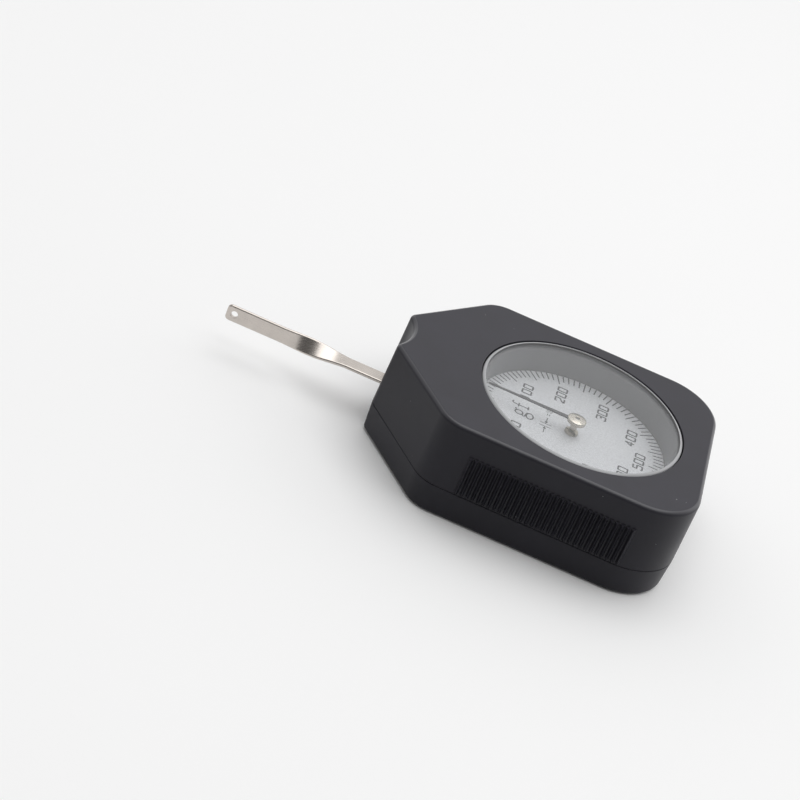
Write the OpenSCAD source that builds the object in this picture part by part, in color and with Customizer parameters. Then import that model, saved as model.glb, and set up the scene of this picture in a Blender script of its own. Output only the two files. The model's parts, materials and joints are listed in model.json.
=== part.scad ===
// Dial tension gauge: a hand-held force gauge. A twisted feeler lever swings a toothed sector,
// which turns a pointer over a round dial. The origin is on the pointer's axis at the back face,
// +Z comes out of the dial, the lever points to -X and the rear of the case to +X.

/* [Case] */
// Rim of the front face beside the window, on the two long sides
rim_w = 5; // [4.6:0.1:8]
// Rim of the front face behind the window
rear_rim = 7; // [6.5:0.1:12]
// Lever pivot to the tips of the two nose horns
nose_l = 15; // [14:0.1:18]
// Radius of the rear corners
rear_r = 13.3; // [10:0.1:15]
// Radius where a long side turns into the nose flank
shoulder_r = 8; // [5:0.1:12]
// Pointer axis to the corner where a long side and a nose flank would meet
shoulder_x = 27.7; // [26:0.1:31]
// Pointer axis line to the middle of each horn
horn_y = 7.4; // [7:0.1:9]
// Radius of the horns
horn_r = 2.2; // [2.1:0.1:3]
// Depth of the scallop between the horns
scallop_d = 2; // [1:0.1:2.4]
// Thickness of the side walls
wall_t = 2; // [1.6:0.1:2.4]
// Thickness of the front face
face_t = 2.6; // [2.2:0.1:3.5]
// Thickness of the back cover's floor
floor_t = 2; // [1.6:0.1:3]
// How far each shell's wall leans in from the parting line to its face
draft = 0.4; // [0.2:0.05:0.5]
// Fillet round the front face
face_fillet = 1.1; // [0.8:0.1:1.8]
// Fillet round the back face
back_fillet = 1.2; // [0.6:0.1:1.6]
// Chamfer of both shells at the parting line
seam_c = 0.2; // [0.1:0.05:0.3]
// Height of the lip that centres the front case on the back cover
lip_h = 1.4; // [1:0.1:2]
// Thickness of that lip
lip_t = 1; // [0.8:0.1:1.4]

/* [Grip ridges] */
// Ridges on each long side
grip_n = 31; // [15:2:33]
// Distance from ridge to ridge
grip_pitch = 1.3; // [1:0.05:1.4]
// How far a ridge stands out of the wall at the parting line
grip_d = 0.8; // [0.5:0.05:1]
// Front face to the upper ends of the ridges
grip_drop = 6.4; // [4:0.1:9]
// Parting line to the lower ends of the ridges
grip_foot = 0.6; // [0.3:0.1:2]

/* [Window and dial] */
// Radius of the window in the front face
window_r = 25; // [23:0.5:28]
// Thickness of the crystal
crystal_t = 1.6; // [1.2:0.1:2]
// Gap between the crystal and the window's edge
crystal_gap = 0.25; // [0.1:0.05:0.4]
// Chamfer on the crystal's upper edge
crystal_c = 0.5; // [0.2:0.05:0.6]
// Wall of the spacer ring at the crystal
ring_top_w = 0.85; // [0.6:0.05:1.4]
// Wall of the spacer ring at the dial
ring_dial_w = 1.55; // [1:0.05:2]
// Thickness of the spacer ring's flange
flange_t = 1.6; // [1:0.1:2.5]
// Front face to the dial
dial_depth = 8.6; // [8:0.1:11]
// Thickness of the dial
dial_t = 0.8; // [0.5:0.1:1.2]

/* [Lever] */
// Pivot to the tip
lever_l = 54.5; // [46:0.5:70]
// Width of the strip
lever_w = 4.2; // [3:0.1:5]
// Thickness of the strip
lever_t = 0.9; // [0.6:0.05:1.2]
// Pivot to the start of the quarter turn
twist_start = 23; // [19:0.5:26]
// Length of the quarter turn
twist_l = 18; // [12:0.5:19]
// Radius of the hole in the tip
tip_hole_r = 0.85; // [0.5:0.05:1]
// End of the lever to the middle of that hole
tip_hole_in = 2; // [1.6:0.1:3]
// Radius of the tip's corners
tip_r = 1; // [0.5:0.1:1.4]
// Swing to each side, in degrees
swing = 15; // [10:1:15]
// Radius of the eye that sits on the hub
eye_r = 6; // [5.4:0.1:6.2]

/* [Movement] */
// Pointer axis to the lever's pivot
pivot_d = 30; // [28:0.5:33]
// Teeth on the pinion
pinion_n = 18; // [17:1:20]
// Teeth on the sector's full circle for each tooth on the pinion
gear_ratio = 12; // [9:1:12]
// Play between meshing teeth
backlash = 0.08; // [0.06:0.01:0.12]
// Thickness of the sector
sector_t = 1.2; // [0.8:0.1:1.6]
// Thickness of both movement plates
plate_t = 1.6; // [1.4:0.1:2.2]
// Space between the plates
plate_gap = 7.8; // [7.6:0.1:10]
// Height of the bosses under the lower plate
boss_h = 2; // [1.6:0.1:3]
// Space between the parting line and the lever's lower face
under_lever = 1.6; // [0.6:0.1:2]
// Radius of the pillars
pillar_r = 2; // [1.6:0.1:2.4]
// Radius of the lever shaft
shaft_r = 1.75; // [1.5:0.05:2]
// Radius of the lever shaft's pivots
shaft_pivot_r = 1; // [0.7:0.05:1.2]
// Thickness of the main spring's strip
main_strip = 0.3; // [0.2:0.05:0.4]
// Width of the main spring's strip
main_strip_w = 1; // [0.6:0.1:1.2]
// Thickness of the hairspring's strip
hair_strip = 0.2; // [0.1:0.05:0.25]
// Width of the hairspring's strip
hair_strip_w = 0.4; // [0.3:0.05:0.6]

/* [Pointer] */
// Needle's tip to the spacer ring
needle_gap = 1.2; // [0.6:0.1:4]
// Width of the needle at the hub
needle_w = 1.2; // [0.8:0.05:1.6]
// Width of the needle at its tip
needle_tip_w = 0.45; // [0.3:0.05:0.8]
// Thickness of the needle
needle_t = 0.3; // [0.2:0.05:0.4]
// Dial to the needle's lower face
needle_rise = 3.3; // [2.6:0.1:3.6]
// Radius of the hub's head
hub_r = 2.3; // [1.9:0.05:3]
// Height of the head's straight side
hub_side = 0.9; // [0.8:0.05:1.2]
// Height of the dome on the head
hub_dome = 0.35; // [0.2:0.05:0.6]
// Radius of the hub's stem
stem_r = 0.85; // [0.8:0.05:1]
// Radius of the arbor in the hub
arbor_top_r = 0.5; // [0.4:0.05:0.6]
// Radius of the arbor at the pinion
arbor_r = 0.8; // [0.7:0.05:1]

/* [Screws] */
// Shank radius of the case screws
case_screw_r = 1.25; // [1:0.05:1.4]
// Head radius of the case screws
case_head_r = 2.4; // [2:0.05:2.6]
// Head height of the case screws
case_head_h = 1.6; // [1.2:0.1:2]
// Back face to the seat of the case screws
case_seat = 3.4; // [2.6:0.1:4]
// How far the case screws reach into the front case
case_grip = 6; // [4:0.1:8]
// Shank radius of the movement screws
move_screw_r = 0.8; // [0.6:0.05:1]
// Shank radius of the plate screws and the lever screws
small_screw_r = 0.7; // [0.5:0.05:0.8]

/* [Hidden] */
$fn = 64;
// Gap of pieces that sit fixed in or on each other, and radial clearance of a running pivot
fit = 0.02;
run = 0.03;
// End play of both shafts at each plate, and how far a pivot ends inside its bush
play = 0.1;
pivot_in = 0.2;
// Room round a shank in a through hole, round a head in its recess, and past the end of a screw
shank_room = 0.12;
head_room = 0.2;
end_room = 0.3;
// Width and length of the slot in a screw head, as shares of the head's radius
screw_slot_w = 0.32;
screw_slot_l = 1.3;
// Overlap that joins the shapes of one piece, and overshoot of a cut
join = 0.4;
over = 1;

// Heights, stacked up from the back face
lower_z = floor_t + boss_h;
inner_z = lower_z + plate_t;
upper_z = inner_z + plate_gap;
dial_z = upper_z + plate_t + dial_t;
case_h = dial_z + dial_depth;
collet_rise = 0.3;
collet_over = 0.15;
hub_rise = 0.2;
collet_z = inner_z + collet_rise;
collet_h = main_strip_w + 2 * collet_over;
hub_z = collet_z + collet_h + hub_rise;
hub_flange_t = 0.6;
sector_z = hub_z + hub_flange_t;
lever_z = sector_z + sector_t;
lever_mid = lever_z + lever_t / 2;
seam_z = lever_z - under_lever;
needle_z = dial_z + needle_rise;

// Main places in plan
nose_x = pivot_d + nose_l;
rear_x = window_r + rear_rim;
half_w = window_r + rim_w;
pivot = [-pivot_d, 0];
dial_r = window_r + 1;
backing_r = window_r + 0.5;
ring_r = window_r - crystal_gap;
ring_top_r = ring_r - ring_top_w;
ring_dial_r = ring_r - ring_dial_w;
flange_r = window_r + 1.4;

// Outline of the case: centres and angles of its arcs, seen from the front
rear_c = [rear_x - rear_r, half_w - rear_r];
horn_c = [horn_r - nose_x, horn_y];
corner = [-shoulder_x, half_w];
to_horn = horn_c - corner;
flank_a = 270 + atan2(to_horn.y, to_horn.x) - asin(horn_r / norm(to_horn));
shoulder_c = corner - shoulder_r * (at(90) + at(flank_a)) / (1 + at(90) * at(flank_a));
scallop_r = (pow(horn_r - scallop_d, 2) + pow(horn_y, 2) - pow(horn_r, 2)) / (2 * scallop_d);
scallop_c = [scallop_d - nose_x - scallop_r, 0];
scallop_a = atan2(horn_c.y, horn_c.x - scallop_c.x);
arc_steps = [10, 6, 6, 5];
sharp_r = 0.05;
lip_gap = 0.12;
lip_in = wall_t + lip_gap + lip_t;
fillet_steps = 6;

// Posts that join the two shells, and where the movement is fastened
post_r = 2.9;
post_boss_r = 3.9;
rear_post_in = [8, 8.5];
nose_post_in = [0.7, 10.5];
rear_post = [rear_x - rear_post_in.x, half_w - rear_post_in.y];
nose_post = [nose_post_in.x - shoulder_x, half_w - nose_post_in.y];
posts = [for (p = [rear_post, nose_post], side = [-1, 1]) [p.x, side * p.y]];
move_boss_r = 2.4;
move_head_r = 1.6;
move_head_h = 1;
move_bite = 2.4;
nose_screw = [5.5, 7];
rear_screw_x = 12.5;
move_places = [
    [pivot.x - nose_screw.x, nose_screw.y], [pivot.x - nose_screw.x, -nose_screw.y], [rear_screw_x, 0]
];
nose_pillar_y = 12.5;
rear_pillar = [10.5, 11.5];
pillar_places = [for (p = [[pivot.x, nose_pillar_y], rear_pillar], side = [-1, 1]) [p.x, side * p.y]];
pillar_spigot_r = 1.2;
plate_head_r = 1.4;
plate_head_h = 0.8;
plate_bite = 3;
plate_edge = 2.3;
plate_nose_edge = [2.9, 1.5];
plate_rear_edge = 3;
plate_half_w = nose_pillar_y + plate_edge;
plate_nose_x = pivot.x - nose_screw.x - plate_nose_edge.x;
plate_nose_half_w = nose_screw.y + plate_nose_edge.y;
plate_rear_x = rear_screw_x + plate_rear_edge;
plate_corner = 4;
plate_flank = 2;

// Lever, hub, stops and slot
barrel_r = 2.8;
barrel_over = 0.3;
lever_screw_y = 4.4;
lever_head_r = 1.1;
lever_head_h = 0.6;
bush_r = 2.6;
bush_pivot_l = plate_t - pivot_in;
stop_r = 0.8;
stop_x = 7.2;
stop_gap = 0.1;
stop_y = (stop_x * sin(swing) + lever_w / 2 + stop_r + stop_gap) / cos(swing);
stop_over = 0.5;
slot_gap = 0.35;
slot_half = nose_l * tan(swing) + lever_w / 2 / cos(swing) + slot_gap;
slot_over = 0.9;
slot_depth = 7;
twist_steps = 16;

// Gears: module, pitch radii and the sector's number of teeth either side of the middle one
pressure_a = 20;
tooth = 2 * pivot_d / (pinion_n * (1 + gear_ratio));
pinion_pitch_r = tooth * pinion_n / 2;
sector_n = pinion_n * gear_ratio;
sector_pitch_r = tooth * sector_n / 2;
sector_side_n = ceil(swing / (360 / sector_n)) + 2;
dedendum = 1.25 * tooth;
root_flare = 0.1;
sector_rim_w = 2.6;
sector_web = 2;
sector_root_r = sector_pitch_r - dedendum;
spoke_w = 2.6;
pinion_over = 0.3;
flank_steps = 4;

// Springs and their fixings
main_collet_r = 3;
main_turns = 3;
main_pitch = 0.8;
main_stud_r = 0.5;
hair_collet_r = 1.5;
hair_turns = 5;
hair_pitch = 0.65;
hair_stud_r = 0.4;
hair_drop = 1.8;
hair_z = upper_z - hair_drop;
hair_collet_over = 0.1;
spring_steps = 20;

// Pointer arbor, its bushes and the hub
arbor_pivot_r = 0.5;
arbor_bush_r = 1.6;
arbor_shoulder_r = 1.2;
arbor_shoulder_h = 0.5;
collar_over = 0.55;
collar_notch_w = 0.7;
collar_wall = 0.4;
collar_floor = 0.1;
collar_notches = 3;
hub_over_needle = 0.3;
hub_z0 = needle_z + needle_t + hub_over_needle - hub_side;
hub_top_z = hub_z0 + hub_side + hub_dome;
hub_dome_r = (pow(hub_r, 2) + pow(hub_dome, 2)) / (2 * hub_dome);
arbor_end_in = 0.35;
needle_root = 1.2;
needle_l = ring_dial_r - needle_gap;
stem_gap = 0.25;

// Colours
case_black = [0.10, 0.10, 0.11];
cover_black = [0.09, 0.09, 0.10];
clear_glass = [0.85, 0.90, 0.95, 0.35];
ring_grey = [0.42, 0.42, 0.44];
dial_silver = [0.82, 0.82, 0.84];
nickel = [0.78, 0.75, 0.71];
steel = [0.62, 0.63, 0.65];
spring_blue = [0.30, 0.33, 0.42];
brass = [0.78, 0.62, 0.32];
pale_brass = [0.80, 0.76, 0.66];
needle_grey = [0.22, 0.22, 0.24];

// Points
function at(a) = [cos(a), sin(a)];
function arc(c, r, a0, a1, steps) = [for (i = [0:steps]) c + r * at(a0 + (a1 - a0) * i / steps)];

// Upper half of the case outline, moved in by d
function half_outline(d) = concat(
    arc(rear_c, rear_r - d, 0, 90, arc_steps[0]),
    arc(shoulder_c, shoulder_r - d, 90, flank_a, arc_steps[1]),
    arc(horn_c, max(horn_r - d, sharp_r), flank_a, 180 + scallop_a, arc_steps[2]),
    arc(scallop_c, scallop_r + d, scallop_a, 0, arc_steps[3])
);

// The same for an inner wall, whose flank and scallop meet in a corner
function nose_corner(d) = let (
        away = (horn_c - scallop_c) * at(flank_a) + horn_r - d,
        along = sqrt(pow(scallop_r + d, 2) - pow(away, 2)))
    scallop_c + away * at(flank_a) + along * at(flank_a - 90);
function half_inner(d) = let (c = nose_corner(d) - scallop_c) concat(
    arc(rear_c, rear_r - d, 0, 90, arc_steps[0]),
    arc(shoulder_c, shoulder_r - d, 90, flank_a, arc_steps[1]),
    arc(scallop_c, scallop_r + d, atan2(c.y, c.x), 0, arc_steps[3])
);

// Both halves of an outline, from its upper half
function both(h) = concat(h, [for (i = [len(h) - 2:-1:0]) [h[i].x, -h[i].y]]);

// Rounded edge of a shell as pairs of inset and distance from its face, face first
function edge_steps(r) = [for (i = [fillet_steps:-1:0]) let (a = 90 * i / fillet_steps)
    [draft + r * (1 - cos(a)), r * (1 - sin(a))]];

// Solid through rings of points that all have the same count, lowest ring first
module loft(rings) {
    n = len(rings[0]);
    top = (len(rings) - 1) * n;
    polyhedron(
        points = [for (r = rings) each r],
        faces = concat(
            [[for (i = [0:n - 1]) i]],
            [for (k = [0:len(rings) - 2], i = [0:n - 1]) let (j = (i + 1) % n)
                [k * n + i, (k + 1) * n + i, (k + 1) * n + j, k * n + j]],
            [[for (i = [n - 1:-1:0]) top + i]]
        )
    );
}

// Case outline at inset d and height z
function ring(d, z) = [for (p = both(half_outline(d))) [p.x, p.y, z]];

// Straight prism on an inner wall's outline, from z0 to z1
module prism(d, z0, z1) {
    translate([0, 0, z0]) linear_extrude(z1 - z0) polygon(both(half_inner(d)));
}

// One child at each place
module each_at(places, z = 0) {
    for (p = places) translate([p.x, p.y, z]) children();
}

// Round hole through a stretch from z0 to z1, with overshoot at both ends
module drill(r, z0, z1) {
    translate([0, 0, z0 - over]) cylinder(r = r, h = z1 - z0 + 2 * over);
}

// Ring or tube from z0 to z1
module tube(r_out, r_in, z0, z1) {
    difference() {
        translate([0, 0, z0]) cylinder(r = r_out, h = z1 - z0);
        drill(r_in, z0, z1);
    }
}

// Screw with its head's seat at z = 0, the head above and the shank below
module screw(shank_r, shank_l, head_r, head_h, slots) {
    slot_w = head_r * screw_slot_w;
    slot_l = head_r * screw_slot_l;
    difference() {
        union() {
            cylinder(r = head_r, h = head_h);
            translate([0, 0, -shank_l]) cylinder(r = shank_r, h = shank_l + head_h / 2);
        }
        for (i = [0:slots - 1]) rotate(90 * i)
            translate([-slot_l / 2, -slot_w / 2, head_h / 2]) cube([slot_l, slot_w, head_h]);
    }
}

// Gear outline: half the angle of a tooth at radius r, and the points of one tooth
function inv(a) = tan(a) * 180 / PI - a;
function half_tooth(n, r) = let (pitch_r = tooth * n / 2)
    90 / n - backlash / 4 / pitch_r * 180 / PI + inv(pressure_a)
    - inv(acos(min(1, pitch_r * cos(pressure_a) / r)));
function tooth_points(n, a) = let (
        pitch_r = tooth * n / 2,
        root = pitch_r - dedendum,
        flare = 90 / n * root_flare,
        low = max(root, pitch_r * cos(pressure_a)),
        tip = pitch_r + tooth,
        radii = [for (i = [0:flank_steps]) low + (tip - low) * i / flank_steps])
    concat(
        [root * at(a - half_tooth(n, low) - flare)],
        [for (r = radii) r * at(a - half_tooth(n, r))],
        [for (i = [flank_steps:-1:0]) radii[i] * at(a + half_tooth(n, radii[i]))],
        [root * at(a + half_tooth(n, low) + flare)]
    );

// Flat spiral strip around the origin
module spiral(r0, pitch, turns, strip, h) {
    steps = turns * spring_steps;
    function side(i, s) = (r0 + pitch * i / spring_steps + s * strip / 2) * at(360 * i / spring_steps);
    linear_extrude(h) polygon(concat(
        [for (i = [0:steps]) side(i, 1)],
        [for (i = [steps:-1:0]) side(i, -1)]
    ));
}

// Sawtooth strip of grip ridges on the +Y side, rooted in the wall
module grip_ridges() {
    z0 = seam_z + grip_foot;
    z1 = case_h - grip_drop;
    x0 = -grip_pitch * grip_n / 2;
    root_y = half_w - wall_t / 2;
    valley_y = half_w - draft;
    teeth = [for (i = [0:grip_n - 1]) each [
        [x0 + grip_pitch * i, valley_y], [x0 + grip_pitch * (i + 0.5), half_w + grip_d]]];
    translate([0, 0, z0]) linear_extrude(z1 - z0) polygon(concat(
        [[x0, root_y]], teeth, [[-x0, valley_y], [-x0, root_y]]));
}

module front_case() {
    face_under = case_h - face_t;
    edge = edge_steps(face_fillet);
    steps = concat([[seam_c, seam_z], [0, seam_z + seam_c]],
        [for (i = [len(edge) - 1:-1:0]) [edge[i][0], case_h - edge[i][1]]]);
    color(case_black) difference() {
        union() {
            difference() {
                loft([for (s = steps) ring(s[0], s[1])]);
                prism(wall_t + draft, seam_z - over, face_under);
                prism(wall_t, seam_z - over, seam_z + lip_h + join);
            }
            grip_ridges();
            mirror([0, 1, 0]) grip_ridges();
            each_at(posts, seam_z) cylinder(r = post_r, h = face_under - seam_z + join);
        }
        drill(window_r, face_under, case_h);
        each_at(posts) drill(case_screw_r + fit, seam_z, seam_z + case_grip);
        translate([-nose_x - over, -slot_half, seam_z - over])
            cube([slot_depth + over, 2 * slot_half, lever_z + lever_t + slot_over - seam_z + over]);
    }
}

module back_cover() {
    steps = concat(edge_steps(back_fillet), [[0, seam_z - seam_c], [seam_c, seam_z]]);
    color(cover_black) difference() {
        union() {
            difference() {
                union() {
                    loft([for (s = steps) ring(s[0], s[1])]);
                    prism(wall_t + lip_gap, seam_z - join, seam_z + lip_h);
                }
                prism(lip_in, floor_t, seam_z + lip_h + over);
                each_at(posts, seam_z) cylinder(r = post_r + lip_gap, h = lip_h + over);
                translate([-nose_x, -slot_half, seam_z])
                    cube([slot_depth + wall_t, 2 * slot_half, lip_h + over]);
            }
            each_at(posts, floor_t - join) cylinder(r = post_boss_r, h = seam_z - floor_t + join);
            each_at(move_places, floor_t - join) cylinder(r = move_boss_r, h = boss_h + join);
        }
        each_at(posts) drill(case_screw_r + shank_room, 0, seam_z);
        each_at(posts, -over) cylinder(r = case_head_r + head_room, h = case_seat + over);
        each_at(move_places, lower_z - move_bite - end_room)
            cylinder(r = move_screw_r + fit, h = move_bite + over);
    }
}

module case_screws() {
    color(steel) each_at(posts, case_seat) mirror([0, 0, 1])
        screw(case_screw_r, seam_z - case_seat + case_grip, case_head_r, case_head_h, 2);
}

module crystal() {
    color(clear_glass) translate([0, 0, case_h - crystal_t]) rotate_extrude() polygon([
        [0, 0], [ring_r, 0], [ring_r, crystal_t - crystal_c],
        [ring_r - crystal_c, crystal_t], [0, crystal_t]]);
}

module spacer_ring() {
    seat = case_h - crystal_t;
    face_under = case_h - face_t;
    color(ring_grey) rotate_extrude() polygon([
        [ring_dial_r, dial_z], [ring_r, dial_z], [ring_r, face_under - flange_t],
        [flange_r, face_under - flange_t], [flange_r, face_under], [ring_r, face_under],
        [ring_r, seat], [ring_top_r, seat]]);
}

module dial() {
    color(dial_silver) tube(dial_r, arbor_bush_r + 2 * fit, dial_z - dial_t, dial_z);
}

// Outline of the lower plate, and of the upper plate's nose
function plate_points() = let (half = [
        [plate_rear_x, plate_half_w - plate_corner], [plate_rear_x - plate_corner, plate_half_w],
        [pivot.x - plate_flank, plate_half_w], [plate_nose_x, plate_nose_half_w]])
    concat(half, [for (i = [len(half) - 1:-1:0]) [half[i].x, -half[i].y]]);

module lower_plate() {
    color(brass) difference() {
        translate([0, 0, lower_z]) linear_extrude(plate_t) polygon(plate_points());
        each_at([pivot]) drill(bush_r + fit, lower_z, inner_z);
        drill(arbor_bush_r + fit, lower_z, inner_z);
        each_at(pillar_places) drill(pillar_spigot_r + fit, lower_z, inner_z);
        each_at(move_places) drill(move_screw_r + shank_room, lower_z, inner_z);
        each_at(stop_places()) drill(stop_r + fit, lower_z, inner_z);
        each_at([main_stud_place()]) drill(main_stud_r + fit, lower_z, inner_z);
    }
}

module upper_plate() {
    color(brass) difference() {
        union() {
            translate([0, 0, upper_z]) linear_extrude(plate_t) polygon(plate_points());
            translate([0, 0, upper_z]) cylinder(r = backing_r, h = plate_t);
        }
        each_at([pivot]) drill(bush_r + fit, upper_z, upper_z + plate_t);
        drill(arbor_bush_r + fit, upper_z, upper_z + plate_t);
        each_at(pillar_places) drill(small_screw_r + shank_room, upper_z, upper_z + plate_t);
        each_at(pillar_places, upper_z + plate_t - plate_head_h - fit)
            cylinder(r = plate_head_r + head_room, h = plate_head_h + over);
        each_at([hair_stud_place()]) drill(hair_stud_r + fit, upper_z, upper_z + plate_t);
    }
}

module pillars() {
    color(brass) each_at(pillar_places) difference() {
        union() {
            translate([0, 0, inner_z]) cylinder(r = pillar_r, h = plate_gap);
            translate([0, 0, lower_z]) cylinder(r = pillar_spigot_r, h = plate_t + join);
        }
        translate([0, 0, upper_z - plate_bite - end_room])
            cylinder(r = small_screw_r + fit, h = plate_bite + over);
    }
}

module plate_screws() {
    seat = upper_z + plate_t - plate_head_h - fit;
    color(steel) each_at(pillar_places, seat)
        screw(small_screw_r, seat - upper_z + plate_bite, plate_head_r, plate_head_h, 1);
}

module movement_screws() {
    color(steel) each_at(move_places, inner_z)
        screw(move_screw_r, plate_t + move_bite, move_head_r, move_head_h, 1);
}

// The strip's four corners at a distance along the lever, turned by the quarter turn
function twist_angle(s) = let (u = min(1, max(0, (s - twist_start) / twist_l))) 90 * u * u * (3 - 2 * u);
function strip_ring(s) = let (a = twist_angle(s))
    [for (c = [[-1, -1], [-1, 1], [1, 1], [1, -1]])
        let (y = c[0] * lever_w / 2, z = c[1] * lever_t / 2)
        [-s, y * cos(a) - z * sin(a), y * sin(a) + z * cos(a)]];

// Twisted stretch of the strip, in triangles because its faces are not flat
module twisted_strip() {
    rings = [for (i = [0:twist_steps]) strip_ring(twist_start + twist_l * i / twist_steps)];
    last = 4 * twist_steps;
    polyhedron(
        points = [for (r = rings) each r],
        faces = concat(
            [[0, 1, 2, 3]],
            [for (k = [0:twist_steps - 1], i = [0:3]) let (j = (i + 1) % 4, a = 4 * k, b = a + 4)
                each [[a + i, b + j, a + j], [a + i, b + i, b + j]]],
            [[last + 3, last + 2, last + 1, last]]
        )
    );
}

// Upright end of the strip, with rounded corners
module tip_plate() {
    s0 = twist_start + twist_l;
    c = lever_w / 2 - tip_r;
    rotate([90, 0, 0]) translate([0, 0, -lever_t / 2]) linear_extrude(lever_t) union() {
        translate([tip_r - lever_l, -lever_w / 2]) square([lever_l - s0 - tip_r, lever_w]);
        translate([-lever_l, -c]) square([tip_r + join, 2 * c]);
        for (side = [-1, 1]) translate([tip_r - lever_l, side * c]) circle(r = tip_r);
    }
}

module lever() {
    color(nickel) translate([pivot.x, 0, lever_mid]) difference() {
        union() {
            translate([0, 0, -lever_t / 2]) cylinder(r = eye_r, h = lever_t);
            translate([-twist_start, -lever_w / 2, -lever_t / 2])
                cube([twist_start - barrel_r - join, lever_w, lever_t]);
            twisted_strip();
            tip_plate();
        }
        drill(barrel_r + fit, -lever_t / 2, lever_t / 2);
        each_at(lever_screw_places()) drill(small_screw_r + fit, -lever_t / 2, lever_t / 2);
        translate([tip_hole_in - lever_l, 0, 0]) rotate([90, 0, 0])
            drill(tip_hole_r, -lever_t / 2, lever_t / 2);
    }
}

function lever_screw_places() = [[0, lever_screw_y], [0, -lever_screw_y]];

module lever_hub() {
    color(brass) translate([pivot.x, 0, 0]) difference() {
        union() {
            translate([0, 0, hub_z]) cylinder(r = eye_r, h = hub_flange_t);
            translate([0, 0, hub_z]) cylinder(r = barrel_r, h = lever_z + lever_t + barrel_over - hub_z);
        }
        drill(shaft_r + fit, hub_z, lever_z + lever_t);
        each_at(lever_screw_places()) drill(small_screw_r + fit, hub_z, sector_z);
    }
}

module lever_shaft() {
    color(steel) translate([pivot.x, 0, 0]) {
        translate([0, 0, inner_z + play]) cylinder(r = shaft_r, h = plate_gap - 2 * play);
        translate([0, 0, inner_z - bush_pivot_l])
            cylinder(r = shaft_pivot_r, h = plate_gap + 2 * bush_pivot_l);
    }
}

module lever_screws() {
    color(steel) translate([pivot.x, 0, 0]) each_at(lever_screw_places(), lever_z + lever_t)
        screw(small_screw_r, lever_z + lever_t - hub_z, lever_head_r, lever_head_h, 1);
}

module sector_gear() {
    pitch_a = 360 / sector_n;
    end_a = pitch_a * (sector_side_n + 0.5);
    rim_in = sector_root_r - sector_rim_w;
    spoke_a = asin(spoke_w / rim_in);
    inner_a = end_a - spoke_a;
    window_in = eye_r + sector_web;
    color(brass) translate([pivot.x, 0, sector_z]) difference() {
        union() {
            cylinder(r = eye_r, h = sector_t);
            linear_extrude(sector_t) polygon(concat([[0, 0]],
                [sector_root_r * at(-end_a)],
                [for (i = [-sector_side_n:sector_side_n]) each tooth_points(sector_n, pitch_a * i)],
                [sector_root_r * at(end_a)]));
        }
        translate([0, 0, -over]) linear_extrude(sector_t + 2 * over) polygon(concat(
            arc([0, 0], window_in, -inner_a / 2, inner_a / 2, 6),
            arc([0, 0], rim_in, inner_a, -inner_a, 12)));
        drill(barrel_r + fit, 0, sector_t);
        each_at(lever_screw_places()) drill(small_screw_r + fit, 0, sector_t);
    }
}

module lever_lower_bush() {
    color(brass) translate([pivot.x, 0, 0]) tube(bush_r, shaft_pivot_r + run, lower_z, inner_z);
}

module lever_upper_bush() {
    color(brass) translate([pivot.x, 0, 0]) tube(bush_r, shaft_pivot_r + run, upper_z, upper_z + plate_t);
}

function stop_places() = [[pivot.x - stop_x, stop_y], [pivot.x - stop_x, -stop_y]];

module stop_pins() {
    color(steel) each_at(stop_places(), lower_z)
        cylinder(r = stop_r, h = lever_z + lever_t + stop_over - lower_z);
}

main_r0 = main_collet_r + main_strip / 2 + fit;
function main_stud_place() =
    pivot + [main_r0 + main_pitch * main_turns + main_strip / 2 + main_stud_r + fit, 0];

module main_spring() {
    color(spring_blue) translate([pivot.x, 0, collet_z + (collet_h - main_strip_w) / 2])
        spiral(main_r0, main_pitch, main_turns, main_strip, main_strip_w);
}

module main_spring_collet() {
    color(brass) translate([pivot.x, 0, 0])
        tube(main_collet_r, shaft_r + fit, collet_z, collet_z + collet_h);
}

module main_spring_stud() {
    color(steel) each_at([main_stud_place()], lower_z)
        cylinder(r = main_stud_r, h = collet_z + collet_h - lower_z);
}

module pointer_arbor() {
    color(steel) {
        translate([0, 0, inner_z + play]) cylinder(r = arbor_r, h = plate_gap - 2 * play);
        translate([0, 0, lower_z + pivot_in]) cylinder(r = arbor_pivot_r, h = plate_t + join);
        translate([0, 0, upper_z - play - arbor_shoulder_h])
            cylinder(r = arbor_shoulder_r, h = arbor_shoulder_h);
        translate([0, 0, upper_z - play - join])
            cylinder(r = arbor_top_r, h = hub_top_z - arbor_end_in - upper_z + play + join);
    }
}

module pinion() {
    step = 360 / pinion_n;
    color(brass) translate([0, 0, sector_z - pinion_over]) difference() {
        linear_extrude(sector_t + 2 * pinion_over)
            polygon([for (i = [0:pinion_n - 1]) each tooth_points(pinion_n, 180 + step * (i + 0.5))]);
        drill(arbor_r + fit, 0, sector_t + 2 * pinion_over);
    }
}

module arbor_lower_bush() {
    color(brass) tube(arbor_bush_r, arbor_pivot_r + run, lower_z, inner_z);
}

// Bush of the upper plate, whose notched end stands out of the dial
module arbor_upper_bush() {
    top = dial_z + collar_over;
    color(brass) difference() {
        tube(arbor_bush_r, arbor_top_r + run, upper_z, top);
        for (i = [1:collar_notches]) rotate(360 / collar_notches * (i - 0.5))
            translate([arbor_top_r + collar_wall, -collar_notch_w / 2, dial_z + collar_floor])
                cube([arbor_bush_r, collar_notch_w, collar_over]);
    }
}

hair_r0 = hair_collet_r + hair_strip / 2 + fit;
function hair_stud_place() = [hair_r0 + hair_pitch * hair_turns + hair_strip / 2 + hair_stud_r + fit, 0];

module hairspring() {
    color(spring_blue) translate([0, 0, hair_z])
        spiral(hair_r0, hair_pitch, hair_turns, hair_strip, hair_strip_w);
}

module hairspring_collet() {
    color(brass) tube(hair_collet_r, arbor_r + fit,
        hair_z - hair_collet_over, hair_z + hair_strip_w + hair_collet_over);
}

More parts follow.
